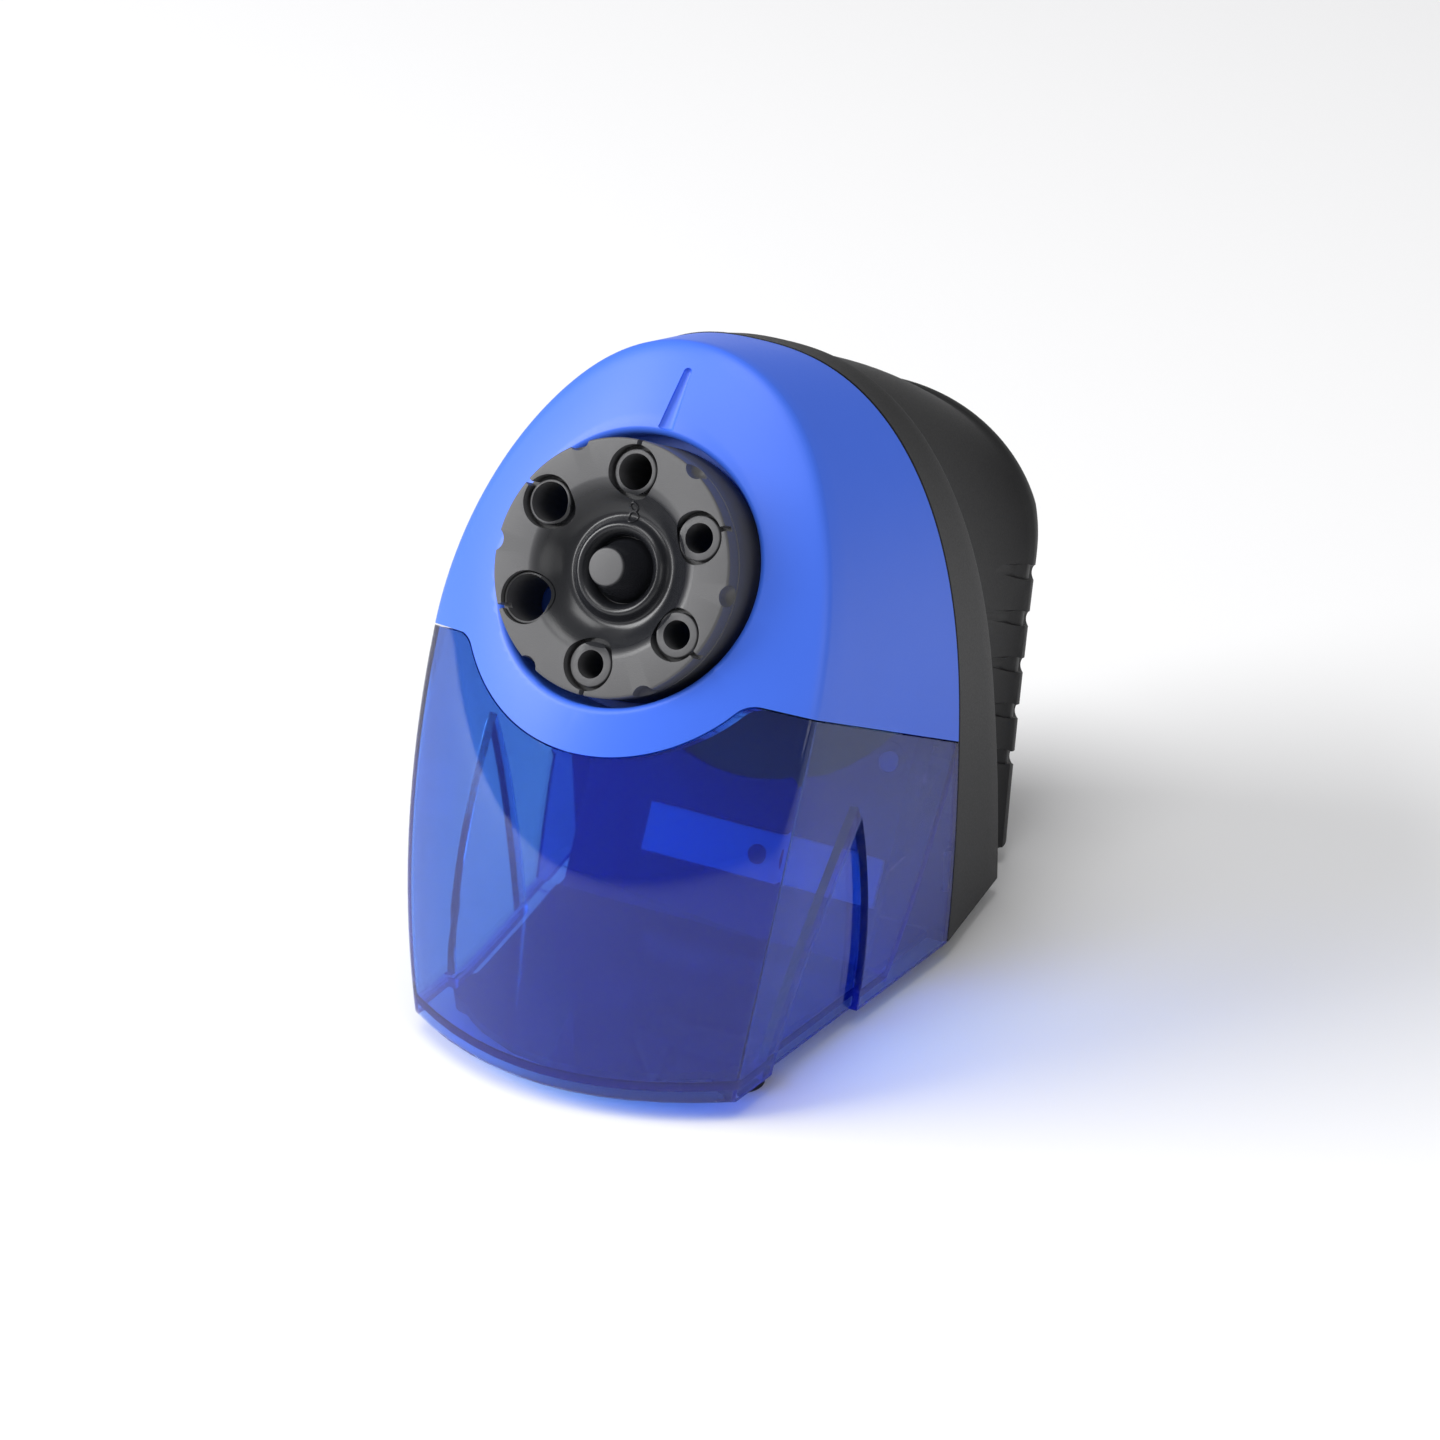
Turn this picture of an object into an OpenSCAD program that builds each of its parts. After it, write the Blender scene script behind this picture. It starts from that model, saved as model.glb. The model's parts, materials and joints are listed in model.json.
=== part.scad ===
// Desktop electric pencil sharpener with a six-hole dial and a pull-out shavings tray.
// X runs across, Y from the tray's front to the back, Z up from the table.

/* [Overall] */
// Height from the table to the top of the front shell
overall_h = 169; // [165:1:205]
// Depth from the foremost edge of the tray to the back
overall_d = 188; // [182:1:230]
// Width across the seam between the front and the rear
overall_w = 112.4; // [104:0.2:136]
// Height of the rubber feet
foot_h = 5; // [4:0.5:7]
// Depth of the front, from its foremost edge to the seam
front_d = 109; // [106:1:118]
// Lean of the dial, which is also the pitch of the pencil
tilt = 28.3; // [26:0.1:31]

/* [Shells] */
// Wall of the front shell
shell_wall = 2.6; // [2:0.1:3.4]
// Wall of the clear tray
tray_wall = 2.6; // [2:0.1:3.2]
// Wall of the rear housing
rear_wall = 2.6; // [2:0.1:3.4]
// Width across the front edges of the shell, at its widest
crease_w = 104.6; // [96:0.2:125]
// Gap between the tray and what it slides past
tray_gap = 0.4; // [0.3:0.05:0.8]
// Width across the rear grip
grip_w = 85; // [84:0.5:102]

/* [Dial] */
// Diameter of the dial
dial_d = 61.8; // [58:0.2:66]
// Depth of the dial, front to back
dial_t = 20; // [17:0.5:24]
// Radius of the circle that the pencil holes lie on
hole_circle_r = 23.3; // [22:0.1:24]
// Diameter of the working hole, for an 8 mm pencil
hole_d = 8.7; // [7.5:0.1:9.5]
// Running clearance between the dial and its hub
hub_clear = 0.06; // [0.03:0.01:0.1]

/* [Cutter] */
// Bore of the pencil guide behind the dial
guide_bore = 12; // [11.6:0.1:12.6]
// Half angle of the pencil point
point_angle = 11; // [10:0.5:12]
// Diameter of the helical cutter
cutter_d = 16; // [15:0.2:16.8]
// Diameter of the cutter's axle
cutter_axle_d = 4; // [3:0.1:5]
// Diameter of the carrier's shaft
carrier_shaft_d = 8; // [6:0.2:9.6]
// Module of the ring and the pinion
planet_module = 1; // [0.95:0.01:1.05]

/* [Gear train] */
// Module of the slow pair
slow_module = 0.8; // [0.75:0.01:0.85]
// Module of the fast pair
fast_module = 0.7; // [0.65:0.01:0.75]
// Diameter of the motor's shaft
motor_shaft_d = 5; // [4:0.1:6]
// Diameter of the rotor
rotor_d = 25; // [22:0.5:27]
// Thickness of the stator's stack
stack_t = 20; // [16:1:22]

/* [Hidden] */
$fn = 64;

// --- places of the main planes and axes ---
bottom_z = foot_h;
front_y = -overall_d / 2;
seam_y = front_y + front_d;
back_y = overall_d / 2;
dial_drop = 40.6;
dial_setback = 36.1;
dial_z = overall_h - dial_drop;
dial_y = front_y + dial_setback;
dial_r = dial_d / 2;
running = 0.05;

// --- outline of the front part ---
crease_mid_z = dial_z - 30;
crease_narrowing = 7.9;
corner_setback = 15.2;
face_lean = 68.8;
face_bow = 13.5;
crown_ease = 4.4;
crown_start = 0.87;
face_power = 2.37;
crease_power = 2;
seam_fall = 10.8;
seam_power = 2.45;
seam_narrowing = 2.3;
tray_drop = 23.7;
seam_mid_z = dial_z - (tray_drop + (seam_y - dial_y) * sin(tilt)) / cos(tilt);
collar_r = dial_r + 13.7;
well_r = dial_r + 2.1;

// --- outline of the rear part ---
belt_top_d = 13;
belt_foot_d = 35.88;
belt_inset = 3.9;
belt_fall = 5.4;
grip_step = 2.5;
grip_top_drop = 20;
back_top_z = dial_z - 14;
back_mid_z = dial_z - 50;
back_foot_in = 19.788;
back_round = 7;
back_bulge = 2;

// --- stations along the pencil's axis, measured inwards from the dial's face ---
well_s = dial_t + 1;
guide_s = 48.4;
ring_s = 51.5;
ring_t = 5.5;
pinion_mid_s = 54.3;
cutter_s = 58.8;
cutter_l = 25.5;
carrier_front_s = 49;
carrier_back_s = 86.8;
carrier_plate_t = 3.2;
plate_t = 3;
gear_plate_s = 92.5;
slow_s = 97.2;
slow_t = 5;
fast_s = 103.6;
fast_t = 4;
motor_plate_s = 109.6;
stack_s = 119;
bracket_t = 2.5;
tray_back_s = 98.6;

// --- rear housing and base ---
base_t = 3;
tongue_t = 2.2;
tongue_inset = 7.5;
tray_floor_t = 2.5;
tray_floor_z = bottom_z + tongue_t + tray_gap;
back_corner_z = dial_z - 37;
back_lean = atan(back_foot_in / (back_corner_z - bottom_z));
groove_r = 2;
groove_depth = 1;
groove_l = 50;
groove_count = 5;
groove_slope = tilt - 3;
groove_first_z = dial_z - 48;
groove_pitch = 13.2;
gland_d = 10.4;
gland_x = -24;
gland_z = bottom_z + 17;

front_foot = [36.2, dial_y - 3];
rear_foot = [34, seam_y + 40];
foot_r = 6.9;
foot_stem_r = 2.4;
vent_pitch = 8;
vent_size = [3, 22];

// --- finger recess on both sides of the tray ---
recess_apex = [dial_y + 27, dial_z - 66];
recess_foot_y = dial_y + 13.8;
recess_half_w = 18.4;
recess_depth = 2.2;

// --- dial details: depths are measured from the dial's face ---
hole_ds = [hole_d, 9.6, 11.3, 6.8, 7, 7.2];
dial_plate_t = 2.4;
dial_wall = 2.2;
hub_pin_r = 4;
hub_screw_l = 9;
crater_floor = 8;
crater_r = 10.3;
crater_rim = 4;
dish_r = 20.8;
plate_back = 11;
cap_top = 2.5;
cap_r = 4.5;
detent_circle_r = 11;
detent_ball_r = 1.9;
detent_angle = 330;

// --- teeth, which set the ratio from the motor to the cutter ---
ring_teeth = 40;
planet_teeth = 12;
carrier_teeth = 48;
idler_small_teeth = 16;
idler_large_teeth = 56;
motor_teeth = 14;
idler_axle_d = 4;
flank_gap = 0.06;

// --- cutter housing and plates ---
housing_r = planet_module * ring_teeth / 2 + 6.5;
ring_outer_r = housing_r - 2.5;
housing_s = 46;
carrier_r = 17.5;
bush_wall = 2.2;
motor_bush_wall = 2.5;
plate_half_w = 36.5;
bulkhead_half_w = 42;
bulkhead_screw_x = 36;
bulkhead_screw_v = -33;

// --- safety switch behind the tray ---
stop_x = [-22, 41];
stop_v = [-69, -56.5];
plunger_at = [10, -62.7, 0];
plunger_r = 2.5;
plunger_travel = 3;

// --- start lever ---
lever_pivot_v = hole_circle_r + 11.5;
lever_pivot_s = 42;
lever_nose_s = 31;
lever_pin_r = 1.25;

// --- motor stack, measured from the motor's axis ---
motor_screw_x = 19;
stack_half_w = 24;
stack_top = 21;
stack_low = -36;
yoke_top = -26;
bracket_gap = 1.4;

// --- centre distances ---
planet_arm = planet_module * (ring_teeth - planet_teeth) / 2;
slow_centres = slow_module * (carrier_teeth + idler_small_teeth) / 2;
fast_centres = fast_module * (idler_large_teeth + motor_teeth) / 2;
motor_drop = 38;
idler_drop = (pow(slow_centres, 2) - pow(fast_centres, 2) + pow(motor_drop, 2)) / (2 * motor_drop);
idler_x = -sqrt(pow(slow_centres, 2) - pow(idler_drop, 2));
idler_at = [idler_x, hole_circle_r - idler_drop, 0];
motor_at = [0, hole_circle_r - motor_drop, 0];

// --- loft resolution ---
low_steps = 6;
up_steps = 14;
edge_steps = 6;
top_u = 0.96;

// ---------------------------------------------------------------- outlines

// Half width and height of an arch at u: -1 at the bottom, 0 at the widest level, 1 at the top
function arch(u, a, mid, top, low, power, narrowing) =
    u <= 0
    ? [a - narrowing * u * u, mid + u * (mid - low)]
    : [a * pow(cos(90 * u), 2 / power), mid + (top - mid) * pow(sin(90 * u) / sin(90 * top_u), 2 / power)];

// Half width of the same arch at a height
function arch_w(z, a, mid, top, low, power, narrowing) =
    z <= mid
    ? a - narrowing * pow((mid - z) / (mid - low), 2)
    : a * pow(max(0.0001, 1 - pow(min(1, (z - mid) / (top - mid)), power)), 1 / power);

us = concat([for (i = [0:low_steps]) -1 + i / low_steps],
            [for (i = [1:up_steps]) top_u * i / up_steps]);

// A closed loop: up the right side, across the top, down the left side, back along the bottom
function loop_2d(a, mid, top, low, power, narrowing) =
    let (side = [for (u = us) arch(u, a, mid, top, low, power, narrowing)],
         n = len(side) - 1)
    concat(side,
           [for (j = [1:edge_steps - 1]) [side[n][0] * (1 - 2 * j / edge_steps), side[n][1]]],
           [for (i = [0:n]) [-side[n - i][0], side[n - i][1]]],
           [for (j = [1:edge_steps - 1]) [-side[0][0] * (1 - 2 * j / edge_steps), side[0][1]]]);

function rise(z) = max(0, (z - bottom_z) / (overall_h - bottom_z));

// Depth of the shell's front edge at a height
function crease_y(z) =
    let (t = rise(z))
    front_y + corner_setback + face_lean * t - 4 * face_bow * t * (1 - t)
    - crown_ease * pow(max(0, (t - crown_start) / (1 - crown_start)), 2);

// Depth of the front face on the centre line at a height
function centre_y(z) = front_y + (crease_y(overall_h) - front_y) * pow(rise(z), face_power);

function crease_half_w(z, t = 0) =
    arch_w(z, crease_w / 2 - t, crease_mid_z, overall_h - t, bottom_z, crease_power, crease_narrowing);

function face_y(x, z, t = 0) =
    let (zz = min(z + t, overall_h))
    centre_y(zz) + (crease_y(zz) - centre_y(zz)) * pow(min(1, abs(x) / crease_half_w(z, t)), 2);

// Joins closed loops of equal length into one solid, with a fan at each end
module loft(loops, first, last) {
    n = len(loops[0]);
    k = len(loops);
    points = concat([first], [for (l = loops) each l], [last]);
    faces = concat(
        [for (p = [0:n - 1]) [0, 1 + (p + 1) % n, 1 + p]],
        [for (q = [0:k - 2]) for (p = [0:n - 1])
            [1 + q * n + p, 1 + q * n + (p + 1) % n, 1 + (q + 1) * n + p]],
        [for (q = [0:k - 2]) for (p = [0:n - 1])
            [1 + (q + 1) * n + p, 1 + q * n + (p + 1) % n, 1 + (q + 1) * n + (p + 1) % n]],
        [for (p = [0:n - 1]) [1 + k * n, 1 + (k - 1) * n + p, 1 + (k - 1) * n + (p + 1) % n]]);
    polyhedron(points, faces);
}

// Solid of the whole front part, pulled in by t, from the face to the seam
module front_solid(t = 0, low = bottom_z, back = seam_y) {
    crease = loop_2d(crease_w / 2 - t, crease_mid_z, overall_h - t, low, crease_power, crease_narrowing);
    seam = loop_2d(overall_w / 2 - t, seam_mid_z, overall_h - seam_fall - t, low,
                   seam_power, seam_narrowing);
    mid = [0, crease_mid_z];
    shares = [0.3, 0.55, 0.8, 1];
    faces_in = [for (f = shares)
        [for (p = crease) let (q = mid + (p - mid) * f) [q[0], face_y(q[0], q[1], t) + t, q[1]]]];
    edge = faces_in[len(shares) - 1];
    sides = [for (g = [1 / 3, 2 / 3, 1]) [for (i = [0:len(crease) - 1])
        edge[i] + ([seam[i][0], seam_y, seam[i][1]] - edge[i]) * g]];
    tail = back > seam_y ? [[for (p = seam) [p[0], back, p[1]]]] : [];
    loft(concat(faces_in, sides, tail), [0, face_y(0, crease_mid_z, t) + t, crease_mid_z],
         [0, back, crease_mid_z]);
}

// Moves children to the dial's face: local Z points out at the user, local Y up the face
module tilted() translate([0, dial_y, dial_z]) rotate([90 - tilt, 0, 0]) children();

// Moves children to a station on a line parallel to the pencil, local Z pointing outwards
module station(s, at = [0, hole_circle_r, 0]) tilted() translate([at[0], at[1], -s]) children();

// Everything below the tray's top edge and outside the collar round the dial
module tray_zone(gap = 0) {
    big = 400;
    difference() {
        tilted() translate([-big / 2, -tray_drop - gap - big, -big / 2]) cube(big);
        tilted() translate([0, 0, -big / 2]) cylinder(r = collar_r + gap, h = big, $fn = 128);
    }
}

// Solid of the rear part, pulled in by t, from the seam to the back
module rear_solid(t = 0, low = bottom_z, start = seam_y) {
    belt_top = overall_h - seam_fall - belt_fall;
    grip_top = overall_h - grip_top_drop;
    grip_mid = dial_z - 60;
    belt_y = function (z) seam_y + belt_top_d - t
        + (belt_foot_d - belt_top_d) * (belt_top - z) / (belt_top - bottom_z);
    end_y = function (z) back_y - back_bulge - max(0, back_corner_z - z) * tan(back_lean) - t;
    waist_y = function (z) (belt_y(z) + end_y(z)) / 2;
    place = function (loop, y) [for (p = loop) [p[0], y(p[1]), p[1]]];
    crown = function (share) grip_top + (back_top_z + 4 - grip_top) * share - t;
    seam = loop_2d(overall_w / 2 - t, seam_mid_z, overall_h - seam_fall - t, low,
                   seam_power, seam_narrowing);
    belt = loop_2d(overall_w / 2 - belt_inset - t, seam_mid_z, belt_top - t, low,
                   seam_power, seam_narrowing);
    block = loop_2d(grip_w / 2 - 1.5 - t, grip_mid, crown(0), low, 2.4, -1);
    waist = loop_2d(grip_w / 2 - 2.2 - t, grip_mid, crown(0.5), low, 2.3, -2);
    edge = function (in) loop_2d(grip_w / 2 - in - t, back_mid_z, crown(1) - in, low, 2.1, -1.5);
    inner = function (share) [for (p = edge(5)) [p[0] * share, back_mid_z + (p[1] - back_mid_z) * share]];
    loops = [
        place(seam, function (z) start),
        place(belt, function (z) belt_y(z)),
        place(block, function (z) belt_y(z) + grip_step),
        place(waist, function (z) waist_y(z)),
        place(edge(0), function (z) end_y(z) - back_round),
        place(edge(1.5), function (z) end_y(z) - back_round / 3),
        place(edge(5), function (z) end_y(z)),
        place(inner(0.5), function (z) end_y(z) + back_bulge)
    ];
    loft(loops, [0, start, seam_mid_z], [0, end_y(back_mid_z) + back_bulge, back_mid_z]);
}

// Round grooves down both sides of the grip, parallel to each other and no deeper than groove_depth
module grip_grooves() {
    difference() {
        for (side = [0, 1]) mirror([side, 0, 0])
            for (i = [0:groove_count - 1])
                translate([grip_w / 2 - 0.6, seam_y + 57, groove_first_z - i * groove_pitch])
                    rotate([-90 - groove_slope, 0, 0])
                        cylinder(r = groove_r, h = groove_l, center = true, $fn = 24);
        rear_solid(groove_depth);
    }
}

// Pointed arch on the tray's sides, in the outer skin down to a depth that follows the side wall
module finger_wedge(back, grow = 0) {
    steps = 6;
    apex = recess_apex;
    half = [for (k = [0:steps]) let (f = k / steps) (recess_half_w + grow) * (1 - pow(f, 1.8))];
    mids = [for (k = [0:steps]) let (f = k / steps) recess_foot_y + (apex[0] - recess_foot_y) * pow(f, 1.3)];
    zs = [for (k = [0:steps]) bottom_z - 1 + (apex[1] + grow - bottom_z + 1) * k / steps];
    difference() {
        for (side = [0, 1]) mirror([side, 0, 0])
            translate([overall_w / 4, 0, 0]) rotate([90, 0, 90]) linear_extrude(overall_w)
                polygon(concat([for (k = [0:steps]) [mids[k] + half[k], zs[k]]],
                               [for (k = [1:steps]) [mids[steps - k] - half[steps - k], zs[steps - k]]]));
        front_solid(recess_depth + back, bottom_z - 2, seam_y + 1);
    }
}

// Everything in front of a station
module before(s) {
    big = 400;
    station(s, [-big / 2, -big / 2, 0]) cube(big);
}

// Points of an involute gear: thin takes a little off each flank for backlash
function involute(a) = tan(a) * 180 / PI - a;
function gear_points(m, z, add, ded, thin) =
    let (rp = m * z / 2, rb = rp * cos(20), tip = rp + add, root = rp - ded,
         half_at = function (r) 90 / z + involute(20) - involute(acos(min(1, rb / max(r, rb))))
                   - thin / r * 180 / PI,
         rs = [root, max(root + 0.01, rp - ded / 2), rp, rp + add / 2, tip])
    [for (i = [0:z - 1]) let (c = 360 * i / z)
        each concat([for (r = rs) r * [cos(c - half_at(r)), sin(c - half_at(r))]],
                    [for (k = [len(rs) - 1:-1:0])
                        let (a = c + half_at(rs[k])) rs[k] * [cos(a), sin(a)]])];

module gear(m, z, h, bore, thin = flank_gap) {
    difference() {
        linear_extrude(h) polygon(gear_points(m, z, 0.85 * m, 1.15 * m, thin));
        translate([0, 0, -1]) cylinder(d = bore, h = h + 2);
    }
}

// A helical wire spring swept as one closed solid
module coil_spring(r, wire, turns, h) {
    per_turn = 12;
    ring = 6;
    n = turns * per_turn;
    at = function (k, j) let (a = 360 * k / per_turn, b = 360 * j / ring, q = r + wire * cos(b))
        [q * cos(a), q * sin(a), wire + (h - 2 * wire) * k / n + wire * sin(b)];
    points = concat([for (k = [0:n]) for (j = [0:ring - 1]) at(k, j)]);
    faces = concat([[for (j = [0:ring - 1]) j]],
        [for (k = [0:n - 1]) for (j = [0:ring - 1])
            [k * ring + j, (k + 1) * ring + j, k * ring + (j + 1) % ring]],
        [for (k = [0:n - 1]) for (j = [0:ring - 1])
            [(k + 1) * ring + j, (k + 1) * ring + (j + 1) % ring, k * ring + (j + 1) % ring]],
        [[for (j = [ring - 1:-1:0]) n * ring + j]]);
    polyhedron(points, faces);
}

// ---------------------------------------------------------------- covers

module front_shell() color("royalblue") {
    floor_s = well_s + shell_wall;
    difference() {
        union() {
            difference() {
                front_solid();
                front_solid(shell_wall, bottom_z - 1, seam_y + 1);
            }
            intersection() {
                front_solid();
                station(floor_s, [0, 0, 0]) cylinder(r = well_r + shell_wall, h = 40);
            }
        }
        tray_zone();
        station(well_s, [0, 0, 0]) cylinder(r = well_r, h = 60);
        station(floor_s + 1) cylinder(d = guide_bore, h = shell_wall + 2);
        station(floor_s + 1, detent_at()) cylinder(r = detent_ball_r + running, h = shell_wall + 2);
        pointer_groove();
    }
    difference() {
        station(well_s, [0, 0, 0]) cylinder(r = hub_pin_r, h = well_s - crater_floor + 0.1);
        station(crater_floor + hub_screw_l, [0, 0, 0]) cylinder(d = 2.6, h = 30);
    }
    station(floor_s + 8, detent_at()) difference() {
        cylinder(r = detent_ball_r + 1.6, h = 8);
        translate([0, 0, 1.2]) cylinder(r = detent_ball_r + running, h = 10);
    }
}

function detent_at() = detent_circle_r * [cos(detent_angle), sin(detent_angle), 0];

// Narrow round-ended groove that points at the working hole
module pointer_groove() {
    low = [0, centre_y(dial_z + 23), dial_z + 23];
    high = [0, centre_y(dial_z + 35.4), dial_z + 35.4];
    along = high - low;
    translate(low) rotate([-atan2(along[1], along[2]), 0, 0]) cylinder(r = 1.05, h = norm(along), $fn = 32);
    translate(high) sphere(r = 1.05, $fn = 32);
}

function screw_places() = [for (x = [-1, 1]) each [[x * (overall_w / 2 - 14), seam_y + 20],
                                                   [x * 16, back_y - 29]]];

// Screw bosses that stand on the base plate and join the wall
module housing_bosses() {
    intersection() {
        rear_solid(1);
        for (p = screw_places()) translate([p[0], p[1], bottom_z + base_t]) {
            cylinder(r = 4, h = 16);
            if (abs(p[0]) > 30) translate([p[0] > 0 ? 0 : -12, -1.5, 0]) cube([12, 3, 16]);
            else translate([-1.5, 0, 0]) cube([3, 9, 16]);
        }
    }
}

module rear_housing() color("#222225") {
    difference() {
        union() {
            difference() {
                rear_solid();
                rear_solid(rear_wall, bottom_z - 1, seam_y - 1);
            }
            housing_bosses();
        }
        for (p = screw_places()) translate([p[0], p[1], bottom_z]) cylinder(d = 2.8, h = 16);
        grip_grooves();
        at_inlet() translate([0, 0, -20]) cylinder(d = gland_d, h = 40);
    }
}

module base_plate() color("#1d1d20") {
    difference() {
        union() {
            intersection() {
                rear_solid(rear_wall + 0.3, bottom_z - 1, seam_y);
                translate([-overall_w / 2, seam_y, bottom_z]) cube([overall_w, overall_d, base_t]);
            }
            intersection() {
                front_solid(tongue_inset, bottom_z - 1, seam_y + 1);
                translate([-overall_w / 2, front_y, bottom_z]) cube([overall_w, front_d + 0.5, tongue_t]);
            }
        }
        for (p = foot_places()) translate([p[0], p[1], bottom_z - 1])
            cylinder(r = foot_stem_r + 0.1, h = base_t + 2);
        for (p = screw_places()) translate([p[0], p[1], bottom_z - 1]) cylinder(d = 3.4, h = base_t + 2);
        for (i = [-3:3]) translate([i * vent_pitch - vent_size[0] / 2, seam_y + 12, bottom_z - 1])
            cube([vent_size[0], vent_size[1], base_t + 2]);
    }
}

module shavings_tray() color([0.25, 0.35, 0.85, 0.6]) {
    difference() {
        union() {
            difference() {
                intersection() { front_solid(); tray_zone(tray_gap); }
                front_solid(tray_wall, bottom_z - 1, seam_y + 1);
            }
            intersection() {
                front_solid();
                tray_zone(tray_gap);
                before(tray_back_s);
                union() {
                    translate([-overall_w / 2, front_y, tray_floor_z])
                        cube([overall_w, overall_d, tray_floor_t]);
                    difference() {
                        translate([-overall_w / 2, front_y, tray_floor_z])
                            cube([overall_w, overall_d, overall_h]);
                        before(tray_back_s - tray_wall);
                    }
                }
            }
            intersection() { front_solid(); finger_wedge(tray_wall, tray_wall); }
        }
        finger_wedge(0);
    }
}

// ---------------------------------------------------------------- chassis

module chassis_bulkhead() color("#202024") {
    s = tray_back_s + 3.7;
    difference() {
        intersection() {
            station(s, [-bulkhead_half_w, -150, 0]) cube([2 * bulkhead_half_w, 150 - tray_drop, 2.5]);
            translate([-overall_w, -overall_d, bottom_z + tongue_t])
                cube([2 * overall_w, 2 * overall_d, overall_h]);
        }
        station(s + 1, [stop_x[0], stop_v[0], 0]) cube([stop_x[1] - stop_x[0], stop_v[1] - stop_v[0], 5]);
        for (x = [-bulkhead_screw_x, bulkhead_screw_x]) station(s + 1, [x, bulkhead_screw_v, 0])
            cylinder(d = 2.6, h = 5);
    }
    for (x = [-bulkhead_screw_x, bulkhead_screw_x])
        station(s - 2.5, [x, bulkhead_screw_v, 0]) difference() {
        cylinder(r = 4.6, h = 0.7);
        translate([0, 0, -1]) cylinder(r = 2.9, h = 3);
    }
    for (x = [-bulkhead_half_w + 1.5, bulkhead_half_w - 4]) station(s + 10, [x, stop_v[1] + 3, 0])
        cube([2.5, 26, 10.2]);
}

module plate_outline(r, low) {
    translate([0, hole_circle_r]) circle(r = r);
    translate([-plate_half_w + 3, low]) square([2 * plate_half_w - 6, hole_circle_r - 6 - low]);
}

module spacer_holes(d) for (p = spacer_places()) translate(p) cylinder(d = d, h = 30, center = true);
function spacer_places() = [[30, -16, 0], [-30, -16.5, 0], [19, hole_circle_r + 16, 0],
                            [-19, hole_circle_r + 16, 0]];

module gear_plate() color("#8d9298") {
    station(gear_plate_s + plate_t, [0, 0, 0]) difference() {
        linear_extrude(plate_t) plate_outline(housing_r, -21.5);
        translate([0, hole_circle_r, -1]) cylinder(d = carrier_shaft_d + 2 * bush_wall, h = plate_t + 2);
        translate(idler_at) translate([0, 0, -1]) cylinder(d = idler_axle_d, h = plate_t + 2);
        spacer_holes(3);
    }
}

module motor_plate() color("#8d9298") {
    station(motor_plate_s + plate_t, [0, 0, 0]) difference() {
        linear_extrude(plate_t) plate_outline(21.5, -30);
        translate([0, hole_circle_r, -1]) cylinder(d = carrier_shaft_d + 2 * bush_wall, h = plate_t + 2);
        translate(idler_at) translate([0, 0, -1]) cylinder(d = idler_axle_d, h = plate_t + 2);
        translate(motor_at) translate([0, 0, -1]) cylinder(d = 14, h = plate_t + 2);
        for (x = [-motor_screw_x, motor_screw_x]) translate(motor_at + [x, 0, -1])
            cylinder(d = 3.4, h = plate_t + 2);
        spacer_holes(3);
    }
}

module plate_spacers() color("#c9ccd1") {
    for (p = spacer_places()) station(motor_plate_s, p) difference() {
        cylinder(r = 3, h = motor_plate_s - gear_plate_s - plate_t);
        translate([0, 0, -1]) cylinder(d = 3, h = 40);
    }
}

module cutter_housing() color("#2c2c30") {
    station(gear_plate_s) difference() {
        cylinder(r = housing_r, h = gear_plate_s - housing_s, $fn = 96);
        translate([0, 0, -1]) cylinder(r = ring_outer_r, h = gear_plate_s - housing_s - 1.5, $fn = 96);
        cylinder(r = guide_bore / 2 + 1.6, h = 60);
        translate([-19, -housing_r - 1, -1]) cube([38, housing_r - 6, gear_plate_s - ring_s - ring_t - 1]);
    }
}

module shavings_chute() color("#26262a") {
    top_v = hole_circle_r - housing_r - 0.3;
    low_v = -tray_drop + 1;
    station(gear_plate_s - 0.3, [0, 0, 0]) difference() {
        translate([-21.5, low_v, 0]) cube([43, top_v - low_v, 33]);
        translate([-19.5, low_v - 1, 2]) cube([39, top_v - low_v + 2, 29]);
    }
}

module pencil_guide() color("#b9bcc2") {
    front = well_s + shell_wall;
    lug_v = hole_circle_r + guide_bore / 2 - 0.5;
    station(guide_s) difference() {
        union() {
            cylinder(r = guide_bore / 2 + 1.5, h = guide_s - front);
            translate([0, 0, guide_s - front - 2]) cylinder(r = 10.5, h = 2);
        }
        translate([0, 0, -1]) cylinder(d = guide_bore, h = 60);
        translate([-2.6, 2, guide_s - lever_nose_s - 4]) cube([5.2, 10, 8]);
    }
    difference() {
        for (x = [-5.2, 3.6]) station(lever_pivot_s + 2.5, [x, lug_v, 0])
            cube([1.6, lever_pivot_v - lug_v + 2.5, 5]);
        station(lever_pivot_s, [0, lever_pivot_v, 0]) rotate([0, 90, 0])
            cylinder(r = lever_pin_r, h = 14, center = true);
        station(guide_s + 1) cylinder(d = guide_bore, h = 30);
    }
}

// ---------------------------------------------------------------- dial

module dial_half_section() {
    r = dial_r;
    lip = 1.2;
    start = crater_r + lip;
    low = crater_rim + lip;
    bearing = hub_pin_r + hub_clear;
    polygon(concat(
        [[bearing, -dial_t], [bearing, -crater_floor], [7.6, -crater_floor]],
        [for (a = [0:30:180]) [crater_r - lip * cos(a), -low + lip * sin(a)]],
        [for (k = [1:6]) let (f = k / 6)
            [start + (dish_r - start) * f, -low - 1.2 * sin(180 * f) * (1 - f) + low * pow(f, 2.2)]],
        [[r - 1, 0], [r, -1], [r, -dial_t], [r - dial_wall, -dial_t], [r - dial_wall, -dial_plate_t - 5]],
        [[crater_r - 1, -plate_back], [hub_pin_r + 3, -plate_back]],
        [[hub_pin_r + 3, -dial_t + 2.4], [detent_circle_r + 2.6, -dial_t + 2.4],
         [detent_circle_r + 2.6, -dial_t]]
    ));
}

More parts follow.
